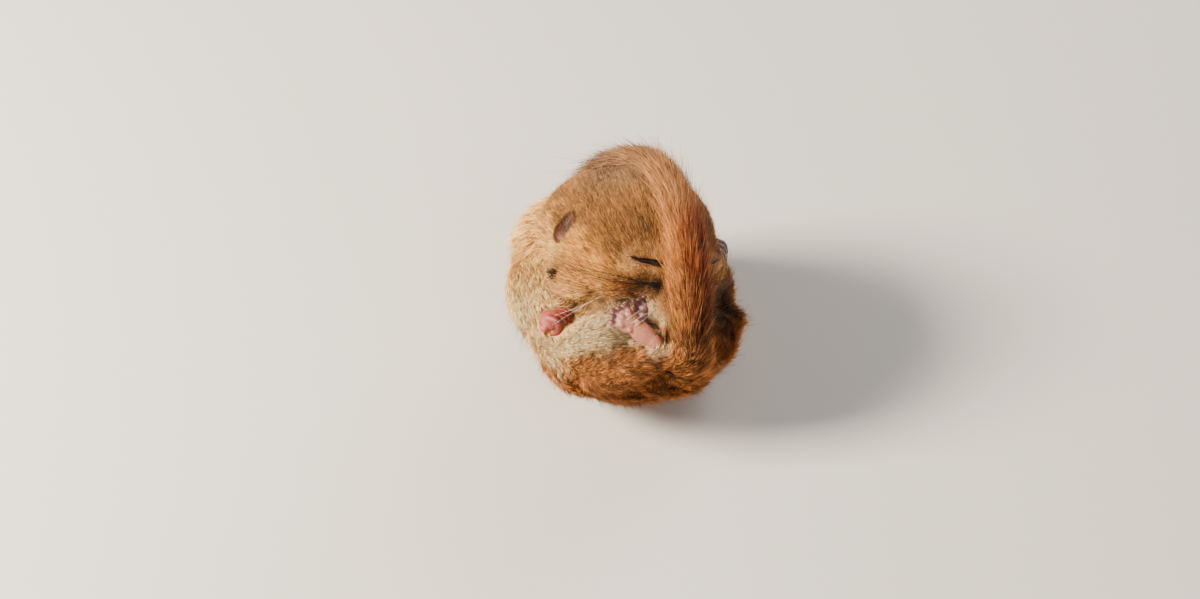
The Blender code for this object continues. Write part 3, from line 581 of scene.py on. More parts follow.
# The length of the hairs. The face's are shortest, and they shorten towards the nose, the eyes and the
# ears. The tail's are shorter at its root and longer at its end.
SHORT_PLACES = (((12.4, 2.2, 6.9), 3.0, 0.60), ((6.4, 15.2, 2.4), 2.0, 0.35))
FACE_DEPTH = 16.0
SHORTEST = 0.30
TAIL_ROOT_END = 0.24
TAIL_ROOT_SHORTER = 0.55
TAIL_TIP_START = 0.7
TAIL_TIP_OVER = 0.25
TAIL_TIP_LONGER = 0.30
from_nose = np.linalg.norm(spots - NOSE, axis=1)
face = np.isin(kind, [KINDS.index(name) for name in FACE_KINDS])
shorter = np.where(face, np.clip(from_nose / FACE_DEPTH, SHORTEST, 1.0), 1.0)
for (x, y, z), reach, most in SHORT_PLACES:
    for side in (1.0, -1.0):
        shorter = shorter * (1.0 - most * near_place(spots, (x * side, y, z), reach))
hair_length = growth_length * spread(shorter, ends, rounds=4)
near_tip = np.clip((tail_share - TAIL_TIP_START) / TAIL_TIP_OVER, 0.0, 1.0)
near_root = np.clip(1.0 - tail_share / TAIL_ROOT_END, 0.0, 1.0)
hair_length *= 1.0 + on_tail * TAIL_TIP_LONGER * near_tip
hair_length *= 1.0 - on_tail * TAIL_ROOT_SHORTER * near_root

# The skin's own colour is that of the coat over it, darker, as it shows between the roots.
SKIN_SHADE = 0.52
tone_layer = skin.data.color_attributes.new("coat_tone", "FLOAT_COLOR", "POINT")
tone_layer.data.foreach_set("color", np.column_stack((tone * SKIN_SHADE, np.ones(count))).ravel())
skin.data.vertices.foreach_set("co", at_rest(spots).ravel())
skin.data.update()
skin.data.shade_smooth()


def socket(group, name, kind_of, way):
    """Adds an input or an output to a shader group."""
    return group.interface.new_socket(name=name, in_out=way, socket_type=kind_of)


def mottle_group():
    """A soft change of tone and a fine grain over any part of the animal."""
    group = bpy.data.node_groups.new("mottle", "ShaderNodeTree")
    socket(group, "Tone", "NodeSocketColor", "INPUT")
    socket(group, "Size", "NodeSocketFloat", "INPUT")
    socket(group, "Change", "NodeSocketFloat", "INPUT")
    socket(group, "Tone", "NodeSocketColor", "OUTPUT")
    socket(group, "Height", "NodeSocketFloat", "OUTPUT")
    start = group.nodes.new("NodeGroupInput")
    end = group.nodes.new("NodeGroupOutput")
    place = group.nodes.new("ShaderNodeTexCoord")
    noise = group.nodes.new("ShaderNodeTexNoise")
    noise.inputs["Detail"].default_value = 6.0
    span = group.nodes.new("ShaderNodeMapRange")
    low = group.nodes.new("ShaderNodeMath")
    low.operation = "SUBTRACT"
    low.inputs[0].default_value = 1.0
    high = group.nodes.new("ShaderNodeMath")
    high.operation = "ADD"
    high.inputs[0].default_value = 1.0
    change = group.nodes.new("ShaderNodeVectorMath")
    change.operation = "SCALE"
    group.links.new(place.outputs["Object"], noise.inputs["Vector"])
    group.links.new(start.outputs["Size"], noise.inputs["Scale"])
    group.links.new(noise.outputs["Fac"], span.inputs["Value"])
    group.links.new(start.outputs["Change"], low.inputs[1])
    group.links.new(start.outputs["Change"], high.inputs[1])
    group.links.new(low.outputs[0], span.inputs["To Min"])
    group.links.new(high.outputs[0], span.inputs["To Max"])
    span.inputs["From Min"].default_value = 0.3
    span.inputs["From Max"].default_value = 0.7
    group.links.new(start.outputs["Tone"], change.inputs[0])
    group.links.new(span.outputs[0], change.inputs["Scale"])
    group.links.new(change.outputs[0], end.inputs["Tone"])
    group.links.new(noise.outputs["Fac"], end.inputs["Height"])
    return group


MOTTLE = mottle_group()


def finish_of(name, attribute, size, change, rough, bump=0.0, coat=0.0, gloss=0.5):
    """A material that takes its colour from the piece's own attribute, mottled."""
    made = bpy.data.materials.new(name)
    made.use_nodes = True
    nodes = made.node_tree.nodes
    shader = nodes["Principled BSDF"]
    shader.inputs["Roughness"].default_value = rough
    shader.inputs["Specular IOR Level"].default_value = gloss
    shader.inputs["Coat Weight"].default_value = coat
    shader.inputs["Coat Roughness"].default_value = 0.25
    colour = nodes.new("ShaderNodeAttribute")
    colour.attribute_name = attribute
    mottle = nodes.new("ShaderNodeGroup")
    mottle.node_tree = MOTTLE
    mottle.inputs["Size"].default_value = size
    mottle.inputs["Change"].default_value = change
    made.node_tree.links.new(colour.outputs["Color"], mottle.inputs["Tone"])
    made.node_tree.links.new(mottle.outputs["Tone"], shader.inputs["Base Color"])
    if bump > 0.0:
        relief = nodes.new("ShaderNodeBump")
        relief.inputs["Strength"].default_value = 1.0
        relief.inputs["Distance"].default_value = bump
        made.node_tree.links.new(mottle.outputs["Height"], relief.inputs["Height"])
        made.node_tree.links.new(relief.outputs["Normal"], shader.inputs["Normal"])
    return made


skin.data.materials.append(finish_of("hide", "coat_tone", 2500.0, 0.25, 0.85, bump=0.00015))
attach(skin, "root")
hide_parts(*[name for name in HIDE if not name.endswith("_eye")], *TAIL_NODES)

# The shut eyes. The black margins of the lids meet in a bent slit that is thickest towards the nose.
# Below it runs the bare rim of the lower lid, and short black lashes hang over it.
SKULL = Vector((0.0, 5.5, 6.5))
skin.data.calc_loop_triangles()
corners = np.empty(len(skin.data.loop_triangles) * 3, np.int64)
skin.data.loop_triangles.foreach_get("vertices", corners)
corners = corners.reshape(-1, 3)
hide_tree = BVHTree.FromPolygons(spots.tolist(), corners.tolist())
SIDES = (("right", 1.0), ("left", -1.0))


def twin(point, side):
    """A place on the animal's right side, or its twin on the left."""
    return Vector((point[0] * side, point[1], point[2]))


def on_hide(point, middle=SKULL):
    """Where a line from the skull's middle through a point leaves the hide, and the way it faces there."""
    inward = (middle - point).normalized()
    spot, out, _, _ = hide_tree.ray_cast(point - inward * 12.0, inward)
    return spot, out


def strand(bm, points, radii, sides=8):
    """Adds a tapered round strand along some points."""
    rings = []
    for index, (point, radius) in enumerate(zip(points, radii)):
        ahead = points[min(index + 1, len(points) - 1)] - points[max(index - 1, 0)]
        turn = ahead.to_track_quat("Z", "X").to_matrix().to_4x4()
        place = Matrix.Translation(point) @ turn
        cap = index in (0, len(points) - 1)
        ring = bmesh.ops.create_circle(bm, cap_ends=cap, segments=sides, radius=radius, matrix=place)
        rings.append(ring["verts"])
    for one, two in zip(rings[:-1], rings[1:]):
        for index in range(sides):
            after = (index + 1) % sides
            bm.faces.new((one[index], one[after], two[after], two[index]))


def finished(piece, place, tones, material, slot, *nodes):
    """Colours a piece, puts it at rest in the row's frame, and lets it stand for the nodes it replaces."""
    mesh = piece.data
    layer = mesh.color_attributes.new("tone", "FLOAT_COLOR", "POINT")
    layer.data.foreach_set("color", np.column_stack((tones, np.ones(len(tones)))).ravel())
    mesh.transform(LIE @ place)
    mesh.shade_smooth()
    mesh.materials.append(material)
    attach(piece, "root")
    if nodes:
        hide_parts(*nodes)


HOME = Matrix.Identity(4)
SLIT = ((8.7, 13.8, 3.2), (6.6, 15.4, 2.0), (3.3, 15.7, 1.6))
SEAM_RADII = (0.05, 0.18, 0.32, 0.52, 0.66, 0.48)
RIM_RADII = (0.04, 0.15, 0.20, 0.22, 0.18, 0.05)
RIM_DROP = 0.58
RIM_SUNK = 0.02
SEAM_SUNK = 0.14
SLIT_STEPS = 24
LASHES = 90
LASH_LENGTH = 0.70
LASH_RADII = (0.035, 0.028, 0.008)
LASHES_BELOW = 0.6
SEAM_BLACK = linear(13, 9, 8)
RIM_PALE = linear(132, 88, 58)
lid_finish = finish_of("eyelid", "tone", 4000.0, 0.18, 0.50, bump=0.00005, gloss=0.25)
lash_finish = finish_of("lash", "tone", 4000.0, 0.10, 0.60, gloss=0.2)
slit_points = []
for word, side in SIDES:
    lids = bmesh.new()
    lashes = bmesh.new()
    seam_line = []
    rim_line = []
    for step in range(SLIT_STEPS + 1):
        spot, out = on_hide(twin(along(SLIT, step / SLIT_STEPS), side))
        ahead = twin(along(SLIT, (step + 1) / (SLIT_STEPS + 2)) - along(SLIT, step / (SLIT_STEPS + 2)), side)
        down = ahead.cross(out).normalized() * side
        if down.z > 0.0:
            down = -down
        seam_line.append(spot - out * SEAM_SUNK)
        rim_line.append(on_hide(spot + down * RIM_DROP)[0] - out * RIM_SUNK)
        slit_points.append(spot)
    shares = np.linspace(0.0, 1.0, SLIT_STEPS + 1)
    knots = np.linspace(0.0, 1.0, len(SEAM_RADII))
    strand(lids, seam_line, np.interp(shares, knots, SEAM_RADII))
    seam_count = len(lids.verts)
    strand(lids, rim_line, np.interp(shares, knots, RIM_RADII))
    total = len(lids.verts)
    draw = np.random.default_rng(21 + int(side))
    for share in np.linspace(0.06, 0.98, LASHES):
        place = share * SLIT_STEPS
        step = min(int(place), SLIT_STEPS - 1)
        root = seam_line[step].lerp(seam_line[step + 1], place - step)
        out = on_hide(root)[1]
        down = (rim_line[step] - seam_line[step]).normalized()
        ahead = (seam_line[step + 1] - seam_line[step]).normalized()
        below = 0.9 if draw.uniform() < LASHES_BELOW else -0.6
        way = (down * below + out * 0.45 + ahead * float(draw.normal(0.25, 0.45))).normalized()
        length = LASH_LENGTH * float(draw.uniform(0.6, 1.1))
        points = [root, root + way * length * 0.5, root + (way - out * 0.25) * length]
        strand(lashes, points, LASH_RADII, sides=4)
    for bm in (lids, lashes):
        bmesh.ops.recalc_face_normals(bm, faces=bm.faces)
    lid_tones = np.repeat(SEAM_BLACK[None, :], total, axis=0)
    lid_tones[seam_count:] = RIM_PALE
    eyelids = piece_of(lids, word + "_eyelids")
    finished(eyelids, HOME, lid_tones, lid_finish, "eyelid_skin", word + "_eye")
    lash_tones = np.repeat(SEAM_BLACK[None, :], len(lashes.verts), axis=0)
    finished(piece_of(lashes, word + "_lashes"), HOME, lash_tones, lash_finish, "eyelid_skin")

# The ears. Each is a thin cupped leaf laid back along the head, with a rolled rim and a fold inside.
# The lower half of the cup is bare pink skin, and a brown down covers the rest, its brown deepened as
# painted shade of the hollow. The creases of the cup are darkened as painted shade.
EAR = Vector((12.0, 0.7, 6.9))
EAR_AHEAD = Vector((1.6, -1.2, 5.2))
EAR_HALF_WIDTH = 1.9
EAR_HALF_LENGTH = 2.9
EAR_CUP = 0.95
EAR_THICKNESS = 0.17
EAR_RIM = 0.93
EAR_RIM_REACH = 0.10
EAR_RIM_THICKER = 0.7
EAR_FOLD = 0.30
EAR_FOLD_REACH = 0.16
EAR_FOLD_HALF_LENGTH = 0.75
EAR_FOLD_HEIGHT = 0.32
EAR_LIFT = 0.60
EAR_LEAN = math.radians(36.0)
EAR_CLEAR = 0.10
EAR_BARE_FROM = -0.05
EAR_BARE_SLOPE = 1.4
EAR_CREASE_SHADE = 0.45
EAR_PINK = linear(150, 98, 88)
EAR_BROWN_AND_SHADE = linear(66, 35, 17)
EAR_FUZZ = linear(128, 82, 48)
ear_finish = finish_of("ear", "tone", 2600.0, 0.22, 0.55, bump=0.00006, gloss=0.3)
EAR_TUFTS = 2200
EAR_RIM_FROM = 0.85
EAR_RIM_CROWD = 2.2
EAR_BARE_CROWD = 0.97
ear_down = []
bare_shapes = []


def seat(point, ahead):
    """A frame on the hide under a point, Y laid ahead along the hide and Z out of it."""
    spot, out = on_hide(point)
    forward = (ahead - out * ahead.dot(out)).normalized()
    return Matrix.Translation(spot) @ Matrix((forward.cross(out), forward, out)).transposed().to_4x4()


def hollows(mesh):
    """How far each point of a mesh lies in a crease, from 0 to 1, and the points themselves."""
    points = points_of(mesh)
    ends = ends_of(mesh)
    depth = np.sum((spread(points, ends, rounds=1) - points) * facing(mesh), axis=1)
    depth = spread(depth, ends, rounds=4)
    return np.clip(depth / (np.percentile(depth, 99) + 1e-9), 0.0, 1.0), points


def mixed(one, two, share):
    """Rows of colour between two colours, by a share at each row."""
    share = np.clip(share, 0.0, 1.0)[:, None]
    return np.asarray(one) * (1.0 - share) + np.asarray(two) * share


def shape_tree(piece, place):
    """A finished form in the animal's frame, to keep hair out of it."""
    bm = bmesh.new()
    bm.from_mesh(piece.data)
    bmesh.ops.transform(bm, matrix=place, verts=bm.verts)
    tree = BVHTree.FromBMesh(bm)
    centre = sum((vert.co for vert in bm.verts), Vector()) / len(bm.verts)
    reach = max((vert.co - centre).length for vert in bm.verts)
    bm.free()
    return tree, centre, reach


for word, side in SIDES:
    leaf = bmesh.new()
    bmesh.ops.create_icosphere(leaf, subdivisions=5, radius=1.0)
    inner = []
    for vert in leaf.verts:
        across, upward, face = vert.co
        reach = min(1.0, across * across + upward * upward)
        rim = math.exp(-(((reach - EAR_RIM) / EAR_RIM_REACH) ** 2))
        fold = math.exp(-(((across - EAR_FOLD) / EAR_FOLD_REACH) ** 2))
        fold *= max(0.0, 1.0 - (upward / EAR_FOLD_HALF_LENGTH) ** 2)
        depth = math.copysign(abs(face) ** 0.6, face) * EAR_THICKNESS * (1.0 + EAR_RIM_THICKER * rim)
        cup = EAR_CUP * reach + EAR_FOLD_HEIGHT * fold - 0.25 * max(0.0, upward) ** 2
        narrow = 1.0 - 0.22 * upward - 0.10 * abs(upward)
        inner.append((across, upward, face))
        vert.co = Vector((side * EAR_HALF_WIDTH * across * narrow, EAR_HALF_LENGTH * upward, cup + depth))
    bmesh.ops.recalc_face_normals(leaf, faces=leaf.faces)
    ear = piece_of(leaf, word + "_ear_cup")
    inner = np.array(inner)
    bare = np.clip(EAR_BARE_FROM - inner[:, 1] * EAR_BARE_SLOPE, 0.0, 1.0) * (inner[:, 2] > -0.1)
    bare *= np.clip((0.97 - inner[:, 0] ** 2 - inner[:, 1] ** 2) / 0.25, 0.15, 1.0)
    crease, _ = hollows(ear.data)
    # Painted shade: the brown and the creases of the cup are darkened.
    ear_tones = mixed(EAR_BROWN_AND_SHADE, EAR_PINK, bare) * (1.0 - EAR_CREASE_SHADE * crease)[:, None]
    place = seat(twin(EAR, side), twin(EAR_AHEAD, side))
    place = place @ Matrix.Translation((0.0, 0.0, EAR_LIFT)) @ Matrix.Rotation(EAR_LEAN * side, 4, "Y")
    bare_shapes.append((*shape_tree(ear, place), EAR_CLEAR))
    turn = np.array(place.to_3x3())
    ways = np.array([vert.normal[:] for vert in ear.data.vertices]) @ turn.T
    spots_here = np.array([vert.co[:] for vert in ear.data.vertices]) @ turn.T + np.array(place.translation)
    at_rim = inner[:, 0] ** 2 + inner[:, 1] ** 2 > EAR_RIM_FROM
    chance = (1.0 - EAR_BARE_CROWD * bare) + EAR_RIM_CROWD * at_rim
    picked = np.random.default_rng(41).choice(len(chance), EAR_TUFTS, p=chance / chance.sum())
    upward = np.array(place.to_3x3() @ Vector((0.0, 1.0, 0.0)))
    outward = spots_here - np.array(place.translation)
    down_ways = upward + 0.5 * outward / np.linalg.norm(outward, axis=1)[:, None]
    ear_down.append((spots_here[picked], ways[picked], down_ways[picked]))
    finished(ear, place, ear_tones, ear_finish, "ear_skin", word + "_ear")

# The nose: a small bare pad, two nostrils and the groove that runs down to the lip. The nostrils and the
# groove are darkened by their depth as painted shade.
NOSE_RADII = (1.55, 1.15, 1.15)
NOSTRIL = Vector((0.62, 0.72, -0.10))
NOSTRIL_REACH = 0.22
NOSTRIL_DEPTH = 0.34
GROOVE_REACH = 0.09
GROOVE_DEPTH = 0.16
NOSE_CLEAR = 0.05
NOSE_PINK = linear(206, 130, 120)
DENT_SHADE = 0.16
DENT_DARKEST = 0.30
pad = bmesh.new()
bmesh.ops.create_icosphere(pad, subdivisions=5, radius=1.0)
dents = []
for vert in pad.verts:
    way = vert.co.normalized()
    dent = 0.0
    for side in (1.0, -1.0):
        away = (way - twin(NOSTRIL, side).normalized()).length
        dent += NOSTRIL_DEPTH * math.exp(-((away / NOSTRIL_REACH) ** 2))
    if way.y > 0.0:
        dent += GROOVE_DEPTH * math.exp(-((way.x / GROOVE_REACH) ** 2)) * (0.4 + 0.6 * (way.z < 0.1))
    dents.append(dent)
    vert.co = Vector([value * radius for value, radius in zip(way * (1.0 - dent), NOSE_RADII)])
bmesh.ops.recalc_face_normals(pad, faces=pad.faces)
nose = piece_of(pad, "nose_pad")
# Painted shade: darker by the depth of each dent.
nose_tones = mixed(NOSE_PINK, NOSE_PINK * DENT_SHADE, np.array(dents) / DENT_DARKEST)
nose_place = Matrix.Translation(Vector(NOSE))
bare_shapes.append((*shape_tree(nose, nose_place), NOSE_CLEAR))
nose_finish = finish_of("nose", "tone", 9000.0, 0.14, 0.30, bump=0.00005, coat=0.35)
finished(nose, nose_place, nose_tones, nose_finish, "nose_skin", "nose")

# The paws, in their own frames: X across, Y towards the toes and Z out of the palm. The forepaws are
# clenched and the hind feet show their soles, with pads, creases between the toes and small claws. Their
# creases are darkened with painted shade, and the left paws, on the far side, are painted darker as
# painted shade.
FIST_BEADS = (((0.0, 0.2, 0.1), (2.45, 2.45, 1.85)), ((0.3, -1.0, 0.2), (2.05, 1.8, 1.7)))
THUMB = ((-2.1, -0.7, 1.1), (0.75, 0.95, 0.75))
FINGERS = 4
FINGER_STEP = 1.22
FINGER_RADII = (0.70, 0.80, 0.74, 0.62, 0.58)
FINGER_BEADS = 16
SOLE_BEADS = (
    ((0.0, 0.4, -0.1), (1.30, 1.7, 0.90)),
    ((0.0, 3.0, 0.0), (1.75, 3.3, 0.90)),
    ((0.0, 6.0, 0.0), (2.00, 2.2, 0.95)),
)
TOES = 5
TOE_STEP = 0.86
TOE_RADII = (0.62, 0.58, 0.52, 0.44)
TOE_BEADS = 12
TOE_REACH = 9.4
SOLE_PADS = (
    (-1.05, 6.5, 0.62), (0.0, 7.1, 0.62), (1.05, 6.5, 0.62),
    (-0.95, 4.8, 0.50), (0.9, 4.5, 0.55), (0.15, 2.6, 0.45),
)
SOLE_PAD_HEIGHT = 0.62
PAW_VOXEL = 0.13
PAW_CLEAR = 0.05
PAW_PINK = linear(160, 70, 62)
PAW_RED = linear(112, 36, 26)
SOLE_PINK = linear(172, 106, 84)
TOE_MAUVE = linear(146, 98, 90)
# Painted shade of the far, left paws: their tones are mixed towards a darker mauve.
LEFT_SHADED_MAUVE = linear(122, 86, 84)
LEFT_SHADE_SHARE = 0.80
LEFT_FIST_PAINTED_SHADE = 0.5
LEFT_SOLE_PAINTED_SHADE = 0.9
RED_FROM = -0.3
RED_OVER = 2.4
MAUVE_FROM = 5.2
MAUVE_OVER = 3.2
# Painted shade: how much the creases of a fist and of a sole are darkened.
FIST_CREASE_SHADE = 0.50
SOLE_CREASE_SHADE = 0.26
CLAW_HORN = linear(170, 126, 102)
CLAW_RADII = (0.14, 0.10, 0.02)
FIST_HOOK = Vector((0.0, -0.25, 0.45))
TOE_HOOK = Vector((0.0, 0.25, 0.75))


def stroke(bm, line, radii, beads):
    """Adds a row of beads along a smooth line, whose size runs through the radii."""
    for step in range(beads):
        share = step / (beads - 1)
        radius = float(np.interp(share, np.linspace(0.0, 1.0, len(radii)), radii))
        bead(bm, along(line, share), (radius, radius, radius), fineness=2)


def forepaw():
    """A clenched forepaw, the lines that its fingers follow, and its thumb."""
    bm = bmesh.new()
    for centre, radii in FIST_BEADS:
        bead(bm, centre, radii)
    lines = []
    for index in range(FINGERS):
        across = (index - (FINGERS - 1) / 2.0) * FINGER_STEP
        knuckle = 1.9 - 0.25 * abs(index - 1.4)
        lines.append((
            (across, knuckle - 1.3, -1.0),
            (across, knuckle + 0.4, -0.75),
            (across * 1.02, knuckle + 0.95, 0.4),
            (across * 0.92, knuckle + 0.35, 1.6),
            (across * 0.82, knuckle - 0.85, 2.05),
        ))
        stroke(bm, lines[-1], FINGER_RADII, FINGER_BEADS)
    bead(bm, *THUMB)
    return bm, lines


def hind_foot():
    """A hind foot: heel, sole and its pads, and the lines that its toes follow."""
    bm = bmesh.new()
    for centre, radii in SOLE_BEADS:
        bead(bm, centre, radii)
    lines = []
    for index in range(TOES):
        across = (index - (TOES - 1) / 2.0) * TOE_STEP
        reach = TOE_REACH - 0.55 * abs(index - 2)
        lines.append((
            (across * 0.8, 6.7, 0.1),
            (across * 1.15, 8.0, -0.15),
            (across * 1.12, reach - 0.5, 0.0),
            (across * 1.05, reach - 0.1, 0.45),
        ))
        stroke(bm, lines[-1], TOE_RADII, TOE_BEADS)
    for across, forward, size in SOLE_PADS:
        bead(bm, (across, forward, SOLE_PAD_HEIGHT), (size, size * 1.15, size * 0.75), fineness=2)
    return bm, lines


def paw_seat(origin, ahead, palm):
    """The frame of a paw: its origin, the way its toes point, and the way its palm faces."""
    forward = Vector(ahead).normalized()
    out = (Vector(palm) - forward * forward.dot(Vector(palm))).normalized()
    turn = Matrix((forward.cross(out), forward, out)).transposed().to_4x4()
    return Matrix.Translation(Vector(origin)) @ turn


PAWS = (
    ("right_forepaw", forepaw, 0.92, (15.9, 2.2, -7.7), (-0.45, 0.80, -0.15), (-0.25, -0.25, -0.95)),
    ("left_forepaw", forepaw, 0.94, (-12.7, 8.1, 2.5), (0.45, 0.55, 0.65), (0.75, -0.6, 0.1)),
    ("right_hind_foot", hind_foot, 0.94, (4.75, 16.3, -11.3), (0.713, -0.347, 0.604), (0.484, 0.875, 0.0)),
    ("left_hind_foot", hind_foot, 1.0, (-1.5, 13.0, -9.4), (0.85, -0.1, 0.5), (0.3, 0.9, -0.1)),
)
paw_finish = finish_of("paw", "tone", 3200.0, 0.18, 0.46, bump=0.00012, coat=0.15)
claw_finish = finish_of("claw", "tone", 5000.0, 0.10, 0.35, coat=0.3)
for name, shape, size, origin, ahead, palm in PAWS:
    form, lines = shape()
    paw = melted(piece_of(form, name + "_bare"), PAW_VOXEL, rounds=4)
    crease, points = hollows(paw.data)
    if shape is forepaw:
        tones = mixed(PAW_PINK, PAW_RED, (points[:, 1] - RED_FROM) / RED_OVER)
        left_painted_shade, crease_shade, hook = LEFT_FIST_PAINTED_SHADE, FIST_CREASE_SHADE, FIST_HOOK
    else:
        tones = mixed(SOLE_PINK, TOE_MAUVE, (points[:, 1] - MAUVE_FROM) / MAUVE_OVER)
        left_painted_shade, crease_shade, hook = LEFT_SOLE_PAINTED_SHADE, SOLE_CREASE_SHADE, TOE_HOOK
    # Painted shade on the left paws, which face away from the key light.
    if name.startswith("left"):
        tones = mixed(tones, LEFT_SHADED_MAUVE * left_painted_shade, np.full(len(tones), LEFT_SHADE_SHARE))
    # Painted shade: the creases of each paw are darkened.
    tones = tones * (1.0 - crease_shade * crease)[:, None]
    place = paw_seat(origin, ahead, palm) @ Matrix.Scale(size, 4)
    bare_shapes.append((*shape_tree(paw, place), PAW_CLEAR))
    finished(paw, place, tones, paw_finish, "paw_skin", name)
    claws = bmesh.new()
    for line in lines:
        end = along(line, 1.0)
        way = (end - along(line, 0.85)).normalized()
        points = [end + way * 0.25, end + way * 0.65 + hook * 0.15, end + way * 0.95 + hook * 0.55]
        strand(claws, points, CLAW_RADII)
    bmesh.ops.recalc_face_normals(claws, faces=claws.faces)
    claw_tones = np.repeat(CLAW_HORN[None, :], len(claws.verts), axis=0)
    finished(piece_of(claws, name + "_claws"), place, claw_tones, claw_finish, "paw_skin")

# The whiskers. They rise from the dark pad beside the nose and sweep back over the cheek to the neck,
# most of them black. A few white hairs fall from the cheek over the fist and cross the sole.
WHISKER_ROOT = Vector((3.2, 15.6, -1.9))
WHISKER_HIGH = Vector((15.8, -8.0, 5.6))
WHISKER_LOW = Vector((12.4, 4.5, -4.0))
WHISKER_ROOT_SPREAD = (0.35, 0.2, 0.5)
CHEEK_MIDDLE = Vector((1.0, 4.0, 1.0))
WHISKERS = 34
WHISKER_RADIUS = 0.045
WHISKER_LIFT = 1.6
WHISKER_TIP_LIFT = 1.4
WHISKER_STEPS = 16
WHISKER_ROUNDS = 6
HAIR_SIDES = 5
TIP_TAPER = 0.85
CHIN_RADIUS = 0.032
SOLE_RADIUS = 0.02
WHITE_HAIRS = (
    (CHIN_RADIUS, (9.8, 8.3, -3.6), (14.0, 8.4, -5.6), (17.6, 4.6, -8.7)),
    (CHIN_RADIUS, (10.4, 8.2, -4.0), (14.6, 7.4, -5.8), (17.0, 3.6, -7.2)),
    (SOLE_RADIUS, (9.4, 15.2, -7.6), (8.0, 16.6, -6.2), (6.6, 16.6, -4.9)),
    (SOLE_RADIUS, (8.3, 15.9, -8.6), (6.9, 17.2, -7.2), (5.6, 17.2, -5.8)),
    (SOLE_RADIUS, (8.9, 15.6, -8.2), (7.4, 16.9, -6.9), (5.6, 17.3, -6.3)),
)
WHITE_STEPS = 12
# A tuft of short black hairs stands on the dark spot of the cheek.
SPOT = Vector((14.7, 3.3, 0.2))
SPOT_HAIRS = 44
SPOT_RADIUS = 0.05
SPOT_LENGTH = 2.2
SPOT_SPREAD = 0.42
WHISKER_BLACK = linear(26, 18, 14)
WHISKER_WHITE = linear(244, 232, 214)
whisker_finish = finish_of("whisker", "tone", 6000.0, 0.08, 0.55, gloss=0.25)
for word, side in SIDES:
    hairs = bmesh.new()
    hair_tones = []
    draw = np.random.default_rng(31 + int(side))

    def add_hair(points, radius, colour):
        """Adds a hair that tapers from its root to a fine tip."""
        radii = [radius * (1.0 - TIP_TAPER * step / (len(points) - 1)) for step in range(len(points))]
        strand(hairs, points, radii, sides=HAIR_SIDES)
        hair_tones.extend([colour] * (HAIR_SIDES * len(points)))

    for index in range(WHISKERS):
        share = (index + float(draw.uniform(-0.3, 0.3))) / (WHISKERS - 1)
        root = WHISKER_ROOT + Vector((draw.normal(0.0, 1.0, 3) * WHISKER_ROOT_SPREAD).tolist())
        goal = WHISKER_HIGH.lerp(WHISKER_LOW, min(max(share, 0.0), 1.0))
        length = 0.25 + 0.75 * float(draw.uniform()) ** 1.2
        bend = float(draw.normal(0.0, 0.7))
        points = []
        for step in range(WHISKER_STEPS + 1):
            part = step / WHISKER_STEPS
            bow = Vector((0.0, 0.0, (1.2 * (0.6 - share) + bend) * math.sin(math.pi * part)))
            spot, out = on_hide(twin(root.lerp(goal, part * length) + bow, side), twin(CHEEK_MIDDLE, side))
            lift = WHISKER_LIFT * min(1.0, part * 6.0) + WHISKER_TIP_LIFT * part * length
            points.append(spot + out * (lift - 0.1))
        for _ in range(WHISKER_ROUNDS):
            points[1:-1] = [(a + b * 2.0 + c) / 4.0 for a, b, c in zip(points, points[1:], points[2:])]
        add_hair(points, WHISKER_RADIUS, WHISKER_BLACK)
    for _ in range(SPOT_HAIRS):
        way = Vector((0.25, -0.9, float(draw.normal(0.0, 0.55)))) * float(draw.uniform(0.3, 0.9))
        start, out = on_hide(twin(SPOT, side))
        start = start + Vector(draw.normal(0.0, SPOT_SPREAD, 3).tolist())
        points = [
            start + twin(way, side) * part * SPOT_LENGTH + out * (0.3 + 0.9 * math.sin(2.0 * part))
            for part in np.linspace(0.0, 1.0, 6)
        ]
        add_hair(points, SPOT_RADIUS, WHISKER_BLACK)
    if side > 0.0:
        for radius, *line in WHITE_HAIRS:
            points = [along(line, part) for part in np.linspace(0.0, 1.0, WHITE_STEPS)]
            add_hair(points, radius, WHISKER_WHITE)
    bmesh.ops.recalc_face_normals(hairs, faces=hairs.faces)
    finished(piece_of(hairs, word + "_whiskers"), HOME, np.array(hair_tones), whisker_finish, "orange_coat")

# The coat. Tapered tufts of hair grow from the skin, thin and lying over one another along its lie,
# and draw together into clumps at their tips. They are shortest on the face and the feet.
HALF_WIDTH = 0.062
KNEE_WIDTH = 0.85
KNEE_TONE = 0.65
ROOT_SUNK = 0.12
LIE_CHANGE = 0.16
RISE_CHANGE = 7.0
FALL_CHANGE = 6.0
CLUMP_TUFTS = 16
CLUMP_SAME_WAY = 0.6
KNEE_PULL = 0.35
GUARD_SHARE = 0.07
GUARD_LENGTHEN = 1.5
GUARD_THIN = 0.6
GUARD_LIFT = 8.0
FLOOR_CLEAR = 0.00004
PRESSED_BELOW = 0.004
PRESSED_CROWD = 0.5
BARE_CROWD = 0.70
TUFTS = 165000
# One tuft has seven points: three round the root, three half way and the tip. The map is its patch.
TUFT_POINTS = 7
TUFT_SIDES = np.array([(0, 1, 4, 3), (1, 2, 5, 4), (2, 0, 3, 5)], np.int64)
TUFT_TIPS = np.array([(3, 4, 6), (4, 5, 6), (5, 3, 6)], np.int64)
TUFT_CORNERS = np.array((4, 4, 4, 3, 3, 3))
TUFT_MAP = np.array(((-0.5, 0.0), (0.0, 0.0), (0.5, 0.0), (-0.5, 0.5), (0.0, 0.5), (0.5, 0.5), (0.0, 1.0)))
TUFT_PATCH = 0.003


